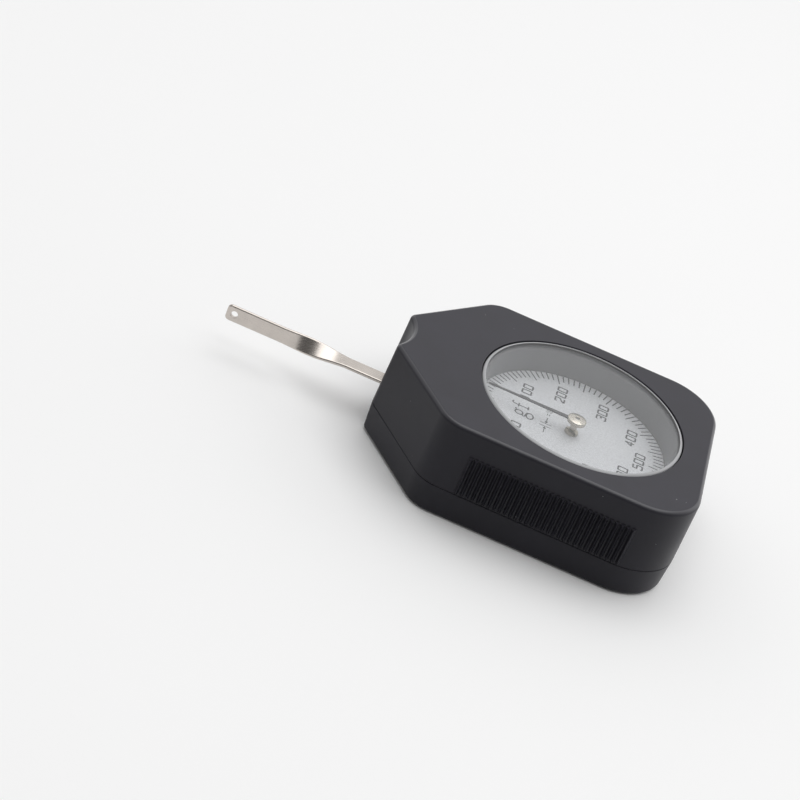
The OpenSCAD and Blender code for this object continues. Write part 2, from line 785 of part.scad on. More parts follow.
module hairspring_stud() {
    color(steel) each_at([hair_stud_place()], hair_z)
        cylinder(r = hair_stud_r, h = upper_z + plate_t - pivot_in - hair_z);
}

module pointer_hub() {
    foot = dial_z + collar_over + stem_gap;
    color(pale_brass) difference() {
        union() {
            translate([0, 0, foot]) cylinder(r = stem_r, h = hub_z0 - foot + join);
            translate([0, 0, hub_z0]) cylinder(r = hub_r, h = hub_side);
            intersection() {
                translate([0, 0, hub_z0 + hub_side - join]) cylinder(r = hub_r, h = hub_dome + join);
                translate([0, 0, hub_top_z - hub_dome_r]) sphere(r = hub_dome_r);
            }
        }
        drill(arbor_top_r + fit, foot, hub_top_z);
        translate([-hub_r - over, -needle_w / 2 - fit, needle_z - fit])
            cube([hub_r + over - needle_root + fit, needle_w + 2 * fit, needle_t + 2 * fit]);
    }
}

module needle() {
    color(needle_grey) translate([0, 0, needle_z]) linear_extrude(needle_t) polygon([
        [-needle_root, needle_w / 2], [-hub_r, needle_w / 2], [-needle_l, needle_tip_w / 2],
        [-needle_l, -needle_tip_w / 2], [-hub_r, -needle_w / 2], [-needle_root, -needle_w / 2]]);
}

front_case();
back_cover();
case_screws();
crystal();
spacer_ring();
dial();
lower_plate();
upper_plate();
pillars();
plate_screws();
movement_screws();
lever();
lever_hub();
lever_shaft();
lever_screws();
sector_gear();
lever_lower_bush();
lever_upper_bush();
stop_pins();
main_spring();
main_spring_collet();
main_spring_stud();
pointer_arbor();
pinion();
arbor_lower_bush();
arbor_upper_bush();
hairspring();
hairspring_collet();
hairspring_stud();
pointer_hub();
needle();
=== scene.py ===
"""Dial tension gauge: case, crystal, dial, needle and feeler lever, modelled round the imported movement."""

import json
import math

import bmesh
import bpy
from mathutils import Matrix, Vector


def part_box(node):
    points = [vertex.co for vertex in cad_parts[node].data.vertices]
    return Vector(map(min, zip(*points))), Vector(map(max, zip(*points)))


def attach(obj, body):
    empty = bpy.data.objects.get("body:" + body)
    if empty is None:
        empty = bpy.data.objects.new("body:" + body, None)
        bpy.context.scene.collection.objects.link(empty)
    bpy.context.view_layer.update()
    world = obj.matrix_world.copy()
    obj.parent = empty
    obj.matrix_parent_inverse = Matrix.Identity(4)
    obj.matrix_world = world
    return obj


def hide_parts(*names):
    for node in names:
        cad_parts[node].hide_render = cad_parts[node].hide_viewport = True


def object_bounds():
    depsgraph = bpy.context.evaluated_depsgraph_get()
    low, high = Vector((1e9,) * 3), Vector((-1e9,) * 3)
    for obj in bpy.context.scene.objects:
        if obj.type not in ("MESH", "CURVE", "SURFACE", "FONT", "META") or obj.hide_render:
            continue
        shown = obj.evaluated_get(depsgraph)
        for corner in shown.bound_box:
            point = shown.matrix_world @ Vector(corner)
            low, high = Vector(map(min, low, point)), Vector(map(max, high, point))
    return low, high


bl_info = {
    "name": "Dial Tension Gauge",
    "version": (1, 0, 0),
    "blender": (4, 5, 0),
    "location": "3D View > Sidebar > Gauge",
    "description": "Models a dial tension gauge round its packed movement",
    "category": "Object",
}

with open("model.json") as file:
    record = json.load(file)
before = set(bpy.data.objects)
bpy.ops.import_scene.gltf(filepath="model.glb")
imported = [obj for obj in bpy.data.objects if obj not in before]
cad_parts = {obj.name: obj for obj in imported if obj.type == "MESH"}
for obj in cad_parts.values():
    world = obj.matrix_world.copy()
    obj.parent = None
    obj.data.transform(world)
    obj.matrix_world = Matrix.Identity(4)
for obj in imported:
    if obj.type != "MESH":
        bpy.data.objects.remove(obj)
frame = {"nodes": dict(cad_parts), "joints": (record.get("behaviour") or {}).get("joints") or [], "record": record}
CAD_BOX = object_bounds()

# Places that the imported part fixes, in metres. The origin is on the needle's axis at the back face.
FRONT_LOW, FRONT_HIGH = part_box("front_case")
CRYSTAL_LOW, CRYSTAL_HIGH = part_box("crystal")
RING_LOW, RING_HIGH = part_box("spacer_ring")
DIAL_LOW, DIAL_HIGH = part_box("dial")
NEEDLE_LOW, NEEDLE_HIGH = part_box("needle")
HUB_LOW, HUB_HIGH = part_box("pointer_hub")
COLLAR_LOW, COLLAR_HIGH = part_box("arbor_upper_bush")
SCREWS_LOW, SCREWS_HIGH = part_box("case_screws")
PIVOT = Vector(next(joint["pos_m"] for joint in frame["joints"] if joint["name"] == "lever_swing"))
PARTING = FRONT_LOW.z
FACE = FRONT_HIGH.z
NOSE = FRONT_LOW.x
REAR = FRONT_HIGH.x
HALF_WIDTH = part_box("back_cover")[1].y
LEVER_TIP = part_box("lever")[0].x
DIAL_TOP = DIAL_HIGH.z

FULL_TURN = 2 * math.pi
QUARTER = math.pi / 2
MILLIMETRE = 0.001

# Distance within which two places count as one, and how far a cutter stands out of what it cuts
TINY = 1e-6
OVERSHOOT = 0.001

# Angles between faces: shaded smooth, rounded by a bevel, and taken as a corner of the lever
SMOOTH_BELOW = math.radians(32)
SHARP_ABOVE = math.radians(35)
CORNER_ABOVE = math.radians(60)

# Steps in the case's rear corners, in its other turns and round the window, crystal, ring and dial
CORNER_STEPS = 24
TURN_STEPS = 14
LARGE_ROUND = 160


def length(name, description, default):
    """A size in metres."""
    return bpy.props.FloatProperty(
        name=name, description=description, default=default, min=0.0, precision=5, unit="LENGTH"
    )


def number(name, description, default):
    """A count."""
    return bpy.props.IntProperty(name=name, description=description, default=default, min=1)


def angle(name, description, default):
    """An angle, given in degrees and held in radians."""
    return bpy.props.FloatProperty(
        name=name, description=description, default=math.radians(default), subtype="ANGLE"
    )


def share(name, description, default):
    """A value from 0 to 1."""
    return bpy.props.FloatProperty(
        name=name, description=description, default=default, min=0.0, max=1.0, subtype="FACTOR"
    )


def tint(name, description, default):
    """A linear colour."""
    return bpy.props.FloatVectorProperty(
        name=name, description=description, default=default, size=3, min=0.0, max=1.0, subtype="COLOR"
    )


def spot(name, description, default):
    """A place in plan or in space, or the sides of a rectangle, in metres."""
    return bpy.props.FloatVectorProperty(
        name=name, description=description, default=default, size=len(default), precision=5, unit="LENGTH"
    )


def power(name, description, default):
    """A lamp's power in watts."""
    return bpy.props.FloatProperty(name=name, description=description, default=default, unit="POWER")


class CaseSizes(bpy.types.PropertyGroup):
    """Sizes of the two moulded shells."""

    rear_corner: length("Rear corner", "Radius of the two rear corners", 0.0133)
    shoulder: length("Shoulder", "Radius where a long side turns into the nose flank", 0.008)
    shoulder_reach: length("Shoulder reach", "Needle's axis to the corner under the shoulder", 0.0277)
    horn: length("Horn", "Radius of the two nose horns", 0.0022)
    horn_spread: length("Horn spread", "Middle line to the middle of each horn", 0.0074)
    scallop: length("Scallop", "Depth of the hollow between the horns", 0.002)
    draft: length("Draft", "How far a wall leans in from the parting line to its face", 0.0004)
    wall: length("Wall", "Thickness of the side walls", 0.002)
    face: length("Front face", "Thickness of the front face", 0.0026)
    floor: length("Back floor", "Thickness of the back cover's floor", 0.002)
    face_round: length("Front rounding", "Radius round the front face", 0.0011)
    back_round: length("Back rounding", "Radius round the back face", 0.0012)
    seam: length("Seam", "Chamfer of both shells at the parting line", 0.0002)
    window: length("Window", "Radius of the window", 0.025)
    window_round: length("Window rounding", "Radius of the window's upper edge", 0.00012)
    lip: length("Lip", "Height of the lip that centres the two shells", 0.0014)
    lip_wall: length("Lip wall", "Thickness of that lip", 0.001)
    lip_gap: length("Lip gap", "Room between the lip and the front case", 0.00012)
    slot_half: length("Slot half width", "Middle line to each side of the lever's slot", 0.00654)
    slot_high: length("Slot height", "Parting line to the top of the lever's slot", 0.0034)
    slot_deep: length("Slot depth", "Nose to the inner end of the lever's slot", 0.007)


class GripSizes(bpy.types.PropertyGroup):
    """Sizes of the ridges on the two long sides."""

    ridges: number("Ridges", "Ridges on each long side", 31)
    pitch: length("Pitch", "Distance from ridge to ridge", 0.0013)
    drop: length("Drop", "Front face to the upper ends of the ridges", 0.0064)
    foot: length("Foot", "Parting line to the lower ends of the ridges", 0.0006)
    crest: length("Crest", "Rounding of each ridge's crest", 0.00012)


class ScrewSizes(bpy.types.PropertyGroup):
    """Sizes of the case screws and of the posts that take them."""

    rear_post: spot("Rear post", "Place of a rear post in plan", (0.024, 0.0215))
    nose_post: spot("Nose post", "Place of a nose post in plan", (-0.027, 0.0195))
    post: length("Post", "Radius of the posts in the front case", 0.0029)
    boss: length("Boss", "Radius of the bosses in the back cover", 0.0039)
    shank: length("Shank", "Radius of the shank", 0.00125)
    head: length("Head", "Radius of the head", 0.0024)
    head_high: length("Head height", "Height of the head", 0.0016)
    head_room: length("Head room", "Room round a head in its recess", 0.0002)
    seat: length("Seat", "Back face to the seat of the head", 0.0034)
    cross_long: length("Cross length", "Length of the cross recess", 0.0031)
    cross_wide: length("Cross width", "Width of the cross recess", 0.0007)


class DialSizes(bpy.types.PropertyGroup):
    """Sizes of the crystal, the spacer ring and the dial with its print."""

    rim_wide: length("Crystal rim width", "Width of the crystal's rounded rim", 0.00075)
    rim_high: length("Crystal rim height", "Height of the crystal's rounded rim", 0.0005)
    ring_top: length("Ring top", "Wall of the spacer ring at the crystal", 0.00085)
    ring_foot: length("Ring foot", "Wall of the spacer ring at the dial", 0.00155)
    ring_step: length("Ring step", "Crystal to the shallow step in the ring's wall", 0.0011)
    step_deep: length("Step depth", "How far that step stands out", 0.00007)
    flange: length("Flange", "Thickness of the spacer ring's flange", 0.0016)
    ring_edge: length("Ring edge", "Rounding of the spacer ring's edges", 0.00004)
    plate_edge: length("Dial edge", "Rounding of the dial's edges", 0.00006)
    hole: length("Dial hole", "Radius of the hole in the dial", 0.00164)
    ink: length("Ink", "Thickness of the print", 0.00002)
    divisions: number("Divisions", "Ticks round the dial", 100)
    long_every: number("Long tick every", "Ticks from one long tick to the next", 5)
    tick_outer: length("Tick outer end", "Radius where the ticks end", 0.02315)
    tick_short: length("Short tick", "Radius where a short tick begins", 0.0206)
    tick_long: length("Long tick", "Radius where a long tick begins", 0.0195)
    tick_wide: length("Tick width", "Width of a tick", 0.00031)
    digit_wide: length("Digit width", "Width of a digit between stroke middles", 0.00155)
    digit_high: length("Digit height", "Height of a digit between stroke middles", 0.00225)
    digit_pitch: length("Digit pitch", "Distance from digit to digit", 0.0024)
    digit_corner: length("Digit corner", "Rounding of a digit's corners", 0.00018)
    stroke: length("Stroke", "Width of a digit's strokes", 0.00043)
    unit_stroke: length("Unit stroke", "Width of the unit's strokes", 0.00036)
    fine_stroke: length("Fine stroke", "Width of the lines of the division mark", 0.00022)
    arrow_long: length("Arrow length", "Length of an arrow's head", 0.0009)
    arrow_wide: length("Arrow width", "Width of an arrow's head", 0.00085)


class LeverSizes(bpy.types.PropertyGroup):
    """Sizes of the feeler lever."""

    wide: length("Width", "Width of the strip", 0.0042)
    thick: length("Thickness", "Thickness of the strip", 0.0009)
    turn_start: length("Turn start", "Pivot to the start of the quarter turn", 0.023)
    turn_long: length("Turn length", "Length of the quarter turn", 0.018)
    turn_steps: number("Turn steps", "Steps in the quarter turn", 40)
    tip_corner: length("Tip corner", "Radius of the tip's corners", 0.001)
    hole: length("Tip hole", "Radius of the hole in the tip", 0.00085)
    hole_in: length("Hole place", "End of the lever to the middle of the hole", 0.002)
    edge: length("Edge", "Rounding of the strip's edges", 0.0004)
    hole_edge: length("Hole edge", "Rounding of the tip hole's rims", 0.00013)
    eye: length("Eye", "Radius of the eye on the pivot", 0.006)
    bore: length("Bore", "Radius of the eye's bore", 0.00282)
    screw_bore: length("Screw bore", "Radius of the eye's screw holes", 0.00072)
    screw_off: length("Screw place", "Pivot to the middle of a screw hole", 0.0044)


class PointerSizes(bpy.types.PropertyGroup):
    """Sizes of the needle, its hub and the collar under it."""

    tip_wide: length("Tip width", "Width of the needle at its tip", 0.00045)
    crown: length("Crown", "Rounding of the needle's upper edges", 0.00009)
    stem: length("Stem", "Radius of the hub's stem", 0.00085)
    head_low: length("Head underside", "Foot of the hub to the underside of its head", 0.0022)
    side: length("Head side", "Height of the head's straight side", 0.0009)
    bore: length("Bore", "Radius of the hub's bore", 0.00052)
    break_edge: length("Broken edge", "Rounding of the hub's and the collar's edges", 0.00012)
    fit: length("Fit", "Room round the needle in the hub", 0.00002)
    collar_bore: length("Collar bore", "Radius of the collar's bore", 0.00053)
    notches: number("Notches", "Notches in the collar", 3)
    notch_wide: length("Notch width", "Width of a notch", 0.0007)
    notch_in: length("Notch floor", "Radius where a notch ends", 0.0009)
    notch_rise: length("Notch rise", "Dial to the floor of a notch", 0.0001)


class Colours(bpy.types.PropertyGroup):
    """Linear colours of the finishes."""

    case: tint("Case", "Moulded charcoal plastic", (0.035, 0.034, 0.043))
    case_worn: tint("Case, rubbed", "Plastic where it is rubbed", (0.062, 0.062, 0.068))
    dust: tint("Dust", "Specks that lie on the case", (0.30, 0.30, 0.30))
    crystal: tint("Crystal", "Clear plastic", (0.97, 0.98, 0.98))
    crystal_light: tint("Crystal's light", "Lamp light behind the crystal", (0.94, 0.95, 0.95))
    # The crystal's two edge colours are painted reflection: opaque greys that stand in for the light the clear
    # polished rim bends and reflects
    edge: tint("Crystal's edge", "Painted reflection on the crystal's rim", (0.36, 0.365, 0.375))
    edge_pale_reflection: tint("Crystal's edge, pale", "Pale rings in that edge", (0.46, 0.465, 0.475))
    ring: tint("Ring", "Spacer ring", (0.138, 0.139, 0.149))
    dial: tint("Dial", "Silver lacquer", (0.563, 0.563, 0.584))
    ink: tint("Ink", "Print on the dial", (0.032, 0.033, 0.038))
    needle: tint("Needle", "Needle paint", (0.040, 0.041, 0.045))
    nickel: tint("Nickel", "Plating of the lever", (0.589, 0.543, 0.503))
    hub: tint("Hub", "Plating of the hub", (0.585, 0.54, 0.477))
    collar: tint("Collar", "Plating of the notched collar", (0.44, 0.40, 0.34))
    brass: tint("Brass", "Brass of the movement", (0.70, 0.49, 0.21))
    steel: tint("Steel", "Turned steel", (0.55, 0.56, 0.58))
    spring: tint("Spring", "Tempered springs", (0.11, 0.14, 0.25))
    floor: tint("Floor", "Plain studio floor", (0.95, 0.95, 0.95))


class StageSettings(bpy.types.PropertyGroup):
    """Camera and lamps."""

    eye: spot("Camera", "Place of the camera", (-0.03678, -0.46262, 0.28856))
    elevation: angle("Elevation", "How far the camera looks down", 31.399)
    azimuth: angle("Azimuth", "How far the camera looks to the rear of the case", -0.303)
    roll: angle("Roll", "How far the camera leans", 23.474)
    lens: bpy.props.FloatProperty(
        name="Lens", description="Focal length on a sensor 36 mm wide", default=104.43, min=1.0, unit="CAMERA"
    )
    world_rear: share("Rear surroundings", "Brightness of the room behind the gauge", 0.92)
    world_front: share("Front surroundings", "Brightness of the room behind the camera", 0.14)
    world_light: share("Surroundings' light", "Share of that brightness that lights matt surfaces", 1.0)
    floor_bounce: share("Floor's bounce", "Brightness of the floor to the matt surfaces round it", 0.14)
    floor_glow: share("Floor's glow", "Light that the camera sees the floor add to its own", 0.02)
    aim: spot("Aim", "Place that the softboxes look at", (0.0, 0.0, 0.02))
    top_light: power("Top softbox", "Power of the softbox above the gauge", 8.4)
    top_place: spot("Top softbox place", "Middle of the softbox above the gauge", (0.15, 0.1, 1.2))
    top_size: spot("Top softbox size", "Sides of the softbox above the gauge", (1.5, 1.15))
    rear_light: power("Rear softbox", "Power of the softbox behind the gauge", 0.35)
    rear_place: spot("Rear softbox place", "Middle of the softbox behind the gauge", (0.6, 0.45, 0.45))
    rear_size: spot("Rear softbox size", "Sides of the softbox behind the gauge", (0.5, 0.5))


GROUPS = (
    ("gauge_case", CaseSizes),
    ("gauge_grip", GripSizes),
    ("gauge_screws", ScrewSizes),
    ("gauge_dial", DialSizes),
    ("gauge_lever", LeverSizes),
    ("gauge_pointer", PointerSizes),
    ("gauge_colours", Colours),
    ("gauge_stage", StageSettings),
)


# Working in edit mode


def select_only(*pieces):
    """Selects these objects alone, the first of them active."""
    if bpy.context.mode != "OBJECT":
        bpy.ops.object.mode_set(mode="OBJECT")
    bpy.ops.object.select_all(action="DESELECT")
    for piece in pieces:
        piece.select_set(True)
    bpy.context.view_layer.objects.active = pieces[0] if pieces else None


def apply_place():
    """Puts the active object's place into its mesh and gives back the object."""
    bpy.ops.object.transform_apply(location=True, rotation=True, scale=True)
    return bpy.context.object


def name_active(name):
    """Names the active object and its mesh."""
    piece = bpy.context.object
    piece.name = name
    piece.data.name = name
    return piece


def name_new(name):
    """Names the object that an operator has just made and puts its place into its mesh."""
    apply_place()
    return name_active(name)


def open_mesh(piece):
    """Opens a piece for editing with nothing selected."""
    select_only(piece)
    bpy.ops.object.mode_set(mode="EDIT")
    bpy.ops.mesh.select_mode(type="VERT")
    bpy.ops.mesh.select_all(action="DESELECT")


def select_mesh():
    """Selects all of the open mesh."""
    bpy.ops.mesh.select_all(action="SELECT")


def open_whole(piece):
    """Opens a piece for editing with all of it selected."""
    open_mesh(piece)
    select_mesh()


def extrude(step):
    """Extrudes what is selected by a step."""
    bpy.ops.mesh.extrude_region_move(TRANSFORM_OT_translate={"value": step})


def close_mesh():
    """Leaves edit mode and gives back the piece."""
    bpy.ops.object.mode_set(mode="OBJECT")
    return bpy.context.object


def pick(kind, test):
    """Selects the vertices, edges or faces of the open mesh that pass a test."""
    bpy.ops.mesh.select_mode(type=kind)
    bpy.ops.mesh.select_all(action="DESELECT")
    data = bpy.context.object.data
    mesh = bmesh.from_edit_mesh(data)
    for element in {"VERT": mesh.verts, "EDGE": mesh.edges, "FACE": mesh.faces}[kind]:
        if test(element):
            element.select_set(True)
    mesh.select_flush_mode()
    bmesh.update_edit_mesh(data)


def level(height):
    """A test for elements that lie flat at a height."""

    def lies_there(element):
        return all(abs(vertex.co.z - height) < TINY for vertex in element.verts)

    return lies_there


def round_edges(test, radius, segments):
    """Bevels the edges of the open mesh that pass a test."""
    pick("EDGE", test)
    bpy.ops.mesh.bevel(
        offset=radius, offset_type="OFFSET", segments=segments, profile=0.5, affect="EDGES",
        clamp_overlap=False,
    )


def heal():
    """Merges doubles in the open mesh and turns its faces outwards."""
    bpy.ops.mesh.select_mode(type="VERT")
    select_mesh()
    bpy.ops.mesh.remove_doubles(threshold=TINY)
    bpy.ops.mesh.normals_make_consistent(inside=False)


def new_point(name, place):
    """Starts a mesh with one selected vertex and leaves it open for editing."""
    select_only()
    bpy.ops.mesh.primitive_plane_add(size=OVERSHOOT, location=place)
    piece = name_new(name)
    bpy.ops.object.mode_set(mode="EDIT")
    bpy.ops.mesh.select_mode(type="VERT")
    select_mesh()
    bpy.ops.mesh.merge(type="CENTER")
    return piece


def pen():
    """Place of the selected vertex."""
    mesh = bmesh.from_edit_mesh(bpy.context.object.data)
    return next(vertex.co.copy() for vertex in mesh.verts if vertex.select)


def line_to(place):
    """Draws an edge from the selected vertex to a place."""
    step = Vector(place) - pen()
    if step.length > TINY:
        extrude(step)


def arc_by(turn, centre, steps):
    """Draws an arc from the selected vertex round a vertical axis; a positive turn runs to the left."""
    bpy.ops.mesh.spin(steps=steps, angle=-turn, center=centre, axis=(0, 0, 1))


def block(name, low, high):
    """Makes a block between two corners."""
    low = Vector(low)
    high = Vector(high)
    select_only()
    bpy.ops.mesh.primitive_cube_add(size=1, location=(low + high) / 2, scale=high - low)
    return name_new(name)


def rod(name, radius, low, high, place=(0.0, 0.0), sides=64):
    """Makes an upright round bar between two heights."""
    middle = (place[0], place[1], (low + high) / 2)
    select_only()
    bpy.ops.mesh.primitive_cylinder_add(vertices=sides, radius=radius, depth=high - low, location=middle)
    return name_new(name)


def lathe(name, profile, steps):
    """Turns a profile of radius and height pairs once round the needle's axis."""
    piece = new_point(name, (profile[0][0], 0, profile[0][1]))
    for radius, height in profile[1:]:
        line_to((radius, 0, height))
    select_mesh()
    bpy.ops.mesh.spin(steps=steps, angle=FULL_TURN, center=(0, 0, 0), axis=(0, 0, 1))
    heal()
    close_mesh()
    return piece


def modify(piece, kind, **settings):
    """Adds a modifier with its settings and applies it."""
    select_only(piece)
    bpy.ops.object.modifier_add(type=kind)
    modifier = piece.modifiers[-1]
    for name, value in settings.items():
        setattr(modifier, name, value)
    bpy.ops.object.modifier_apply(modifier=modifier.name)


def combine(piece, tools, operation):
    """Cuts tools out of a piece or joins them to it, and removes the tools."""
    for tool in tools:
        modify(piece, "BOOLEAN", operation=operation, object=tool, solver="EXACT")
        bpy.data.objects.remove(tool)


def cut(piece, *tools):
    """Cuts tools out of a piece."""
    combine(piece, tools, "DIFFERENCE")


def weld(piece, *tools):
    """Joins solids to a piece."""
    combine(piece, tools, "UNION")


def copy_of(piece, offset=(0, 0, 0)):
    """Copies a piece with its own mesh to a place set off from it."""
    select_only(piece)
    bpy.ops.object.duplicate(linked=False)
    bpy.context.object.location = offset
    return apply_place()


def gather(name, pieces):
    """Makes one piece of several."""
    select_only(*pieces)
    if len(pieces) > 1:
        bpy.ops.object.join()
    return name_active(name)


def mirror_across(piece):
    """Copies a piece to the other long side."""
    copy = copy_of(piece)
    open_whole(copy)
    bpy.ops.transform.resize(value=(1, -1, 1), center_override=(0, 0, 0))
    bpy.ops.mesh.normals_make_consistent(inside=False)
    return close_mesh()


def turn_round(piece, turn):
    """Turns a piece round the needle's axis; a positive turn runs to the left."""
    open_whole(piece)
    bpy.ops.transform.rotate(value=-turn, orient_axis="Z", center_override=(0, 0, 0))
    close_mesh()


def break_edges(piece, width, segments=2):
    """Rounds the sharp edges of a piece."""
    modify(
        piece, "BEVEL", width=width, segments=segments, limit_method="ANGLE", angle_limit=SHARP_ABOVE
    )


def require_closed(piece):
    """Stops with an error if a finished mesh has open or loose edges."""
    mesh = bmesh.new()
    mesh.from_mesh(piece.data)
    count = sum(not edge.is_manifold for edge in mesh.edges)
    mesh.free()
    if count:
        raise RuntimeError(f"{piece.name} has {count} open edges")


def finish_piece(piece, body, slot, finish, *nodes):
    """Smooths a piece, gives it a finish unless it has its own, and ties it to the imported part."""
    require_closed(piece)
    select_only(piece)
    bpy.ops.object.shade_smooth_by_angle(angle=SMOOTH_BELOW)
    modify(piece, "WEIGHTED_NORMAL", keep_sharp=True)
    if not piece.data.materials:
        piece.data.materials.append(finish_named(finish))
    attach(piece, body)
    if nodes:
        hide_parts(*nodes)


# Outline of the case


def flat(x, y, z=0.0):
    """A point from its place in plan."""
    return Vector((x, y, z))


def toward(turn):
    """A unit step in plan."""
    return Vector((math.cos(turn), math.sin(turn), 0))


def outline_arcs(sizes, inset):
    """Arcs of the outline's upper half, rear first, as centre, radius, first and last angle and steps."""
    rear = flat(REAR - sizes.rear_corner, HALF_WIDTH - sizes.rear_corner)
    horn = flat(NOSE + sizes.horn, sizes.horn_spread)
    corner = flat(-sizes.shoulder_reach, HALF_WIDTH)
    run = horn - corner
    flank = 3 * QUARTER + math.atan2(run.y, run.x) - math.asin(sizes.horn / run.length)
    lean = toward(QUARTER) + toward(flank)
    shoulder = corner - lean * (sizes.shoulder / (1 + toward(QUARTER).dot(toward(flank))))
    rise = sizes.horn_spread**2 + (sizes.horn - sizes.scallop) ** 2 - sizes.horn**2
    scallop_radius = rise / (2 * sizes.scallop)
    scallop = flat(NOSE + sizes.scallop - scallop_radius, 0)
    scallop_turn = math.atan2(horn.y, horn.x - scallop.x)
    arcs = [
        (rear, sizes.rear_corner - inset, 0, QUARTER, CORNER_STEPS),
        (shoulder, sizes.shoulder - inset, QUARTER, flank, TURN_STEPS),
    ]
    if inset < sizes.horn:
        arcs.append((horn, sizes.horn - inset, flank, math.pi + scallop_turn, TURN_STEPS))
        first = scallop_turn
    else:
        away = (horn - scallop).dot(toward(flank)) + sizes.horn - inset
        along = math.sqrt((scallop_radius + inset) ** 2 - away**2)
        corner = toward(flank) * away + toward(flank - QUARTER) * along
        first = math.atan2(corner.y, corner.x)
    arcs.append((scallop, scallop_radius + inset, first, 0, TURN_STEPS))
    return arcs


def outline_face(name, sizes, inset, height):
    """Draws the case's outline, moved in by an inset, and fills it with one face that looks up."""
    piece = new_point(name, (REAR - inset, 0, height))
    for centre, radius, first, last, steps in outline_arcs(sizes, inset):
        middle = flat(centre.x, centre.y, height)
        line_to(middle + toward(first) * radius)
        arc_by(last - first, middle, steps)
    select_mesh()
    bpy.ops.mesh.duplicate()
    bpy.ops.transform.resize(value=(1, -1, 1), center_override=(0, 0, 0))
    select_mesh()
    bpy.ops.mesh.remove_doubles(threshold=TINY)
    bpy.ops.mesh.edge_face_add()
    mesh = bmesh.from_edit_mesh(piece.data)
    mesh.faces.ensure_lookup_table()
    mesh.normal_update()
    if mesh.faces[0].normal.z < 0:
        bpy.ops.mesh.flip_normals()
    close_mesh()
    return piece


def outline_prism(name, sizes, inset, low, high):
    """Makes a straight prism on the case's outline."""
    piece = outline_face(name, sizes, inset, low)
    open_whole(piece)
    extrude((0, 0, high - low))
    heal()
    close_mesh()
    return piece


def shell_body(name, sizes, face_height, rounding, segments):
    """Makes the outer form of a shell: leaning walls, a rounded face and a chamfer at the parting line."""
    piece = outline_face(name, sizes, 0.0, PARTING)
    open_whole(piece)
    if face_height < PARTING:
        bpy.ops.mesh.flip_normals()
    bpy.ops.mesh.inset(thickness=sizes.draft, depth=abs(face_height - PARTING), use_even_offset=True)
    pick("EDGE", lambda edge: edge.is_boundary)
    bpy.ops.mesh.edge_face_add()
    round_edges(level(face_height), rounding, segments)
    round_edges(level(PARTING), sizes.seam, segments=1)
    heal()
    close_mesh()
    return piece


def post_places(screws):
    """Places of the four case screws in plan."""
    return [(x, side * y) for x, y in (screws.rear_post, screws.nose_post) for side in (-1, 1)]


# Shader node groups


def add_node(tree, kind, inputs=(), **settings):
    """Adds a node, sets it up and wires or sets its inputs."""
    node = tree.nodes.new(kind)
    for name, value in settings.items():
        setattr(node, name, value)
    for name, value in dict(inputs).items():
        if isinstance(value, bpy.types.NodeSocket):
            tree.links.new(value, node.inputs[name])
        else:
            node.inputs[name].default_value = value
    return node


def calculate(tree, operation, first, second=0.0):
    """Adds a Math node and gives back its result."""
    return add_node(tree, "ShaderNodeMath", {0: first, 1: second}, operation=operation).outputs[0]


def remap(tree, value, span, new_low=0.0, new_high=1.0):
    """Adds a Map Range node that takes a span of values to a new one, and gives back its result."""
    low, high = span
    inputs = {"Value": value, "From Min": low, "From Max": high, "To Min": new_low, "To Max": new_high}
    return add_node(tree, "ShaderNodeMapRange", inputs).outputs["Result"]


def noise(tree, vector, scale, **values):
    """Adds a Noise Texture node and gives back its value."""
    inputs = {"Vector": vector, "Scale": scale, **values}
    return add_node(tree, "ShaderNodeTexNoise", inputs).outputs["Fac"]


def per(tree, size):
    """The scale that gives a texture a size."""
    return calculate(tree, "DIVIDE", 1.0, size)


def parts_of(tree, vector):
    """The X, Y and Z of a vector."""
    return add_node(tree, "ShaderNodeSeparateXYZ", {"Vector": vector}).outputs


def new_group(name, inputs, outputs):
    """Starts a shader node group on a vector; gives back its tree, what it is given and what it gives."""
    tree = bpy.data.node_groups.new(name, "ShaderNodeTree")
    tree.interface.new_socket("Vector", in_out="INPUT", socket_type="NodeSocketVector")
    for label, default in inputs.items():
        socket = tree.interface.new_socket(label, in_out="INPUT", socket_type="NodeSocketFloat")
        socket.default_value = default
    for label in outputs:
        tree.interface.new_socket(label, in_out="OUTPUT", socket_type="NodeSocketFloat")
    return tree, tree.nodes.new("NodeGroupInput").outputs, tree.nodes.new("NodeGroupOutput").inputs


def give(tree, result, **values):
    """Wires values to a group's outputs and gives back the group."""
    for label, value in values.items():
        tree.links.new(value, result[label])
    return tree


# How rare large specks are, and where a speck fades, as a share of its radius
SPECK_RARITY = 3.0
SPECK_FADE = (0.7, 1.0)

# Match of the rounded normal and the face's, and values of the patches, over which rubbing sets in
RUBBED_BEND = (0.995, 0.8)
RUBBED_PATCH = (0.4, 0.65)

# Scales of the broad drift on turned and on brushed metal
TURNED_DRIFT = 600.0
BRUSHED_DRIFT = 350.0


def grain_group(name):
    """Fine moulded or sprayed grain, with a broad drift of tone."""
    tree, given, result = new_group(name, {"Size": 0.0003, "Drift Size": 0.006}, ("Height", "Drift"))
    fine = noise(tree, given["Vector"], per(tree, given["Size"]), Detail=3.0, Roughness=0.6)
    broad = noise(tree, given["Vector"], per(tree, given["Drift Size"]), Detail=4.0, Roughness=0.55)
    return give(tree, result, Height=fine, Drift=broad)


def speck_group(name):
    """Scattered specks of dust of mixed sizes."""
    tree, given, result = new_group(name, {"Spacing": 0.003, "Largest": 0.06}, ("Mask",))
    inputs = {"Vector": given["Vector"], "Scale": per(tree, given["Spacing"])}
    cells = add_node(tree, "ShaderNodeTexVoronoi", inputs).outputs
    chance = add_node(tree, "ShaderNodeSeparateColor", {"Color": cells["Color"]}).outputs["Red"]
    share_of_largest = calculate(tree, "POWER", chance, SPECK_RARITY)
    radius = calculate(tree, "MULTIPLY", share_of_largest, given["Largest"])
    edge = calculate(tree, "DIVIDE", cells["Distance"], radius)
    return give(tree, result, Mask=remap(tree, edge, SPECK_FADE, 1.0, 0.0))


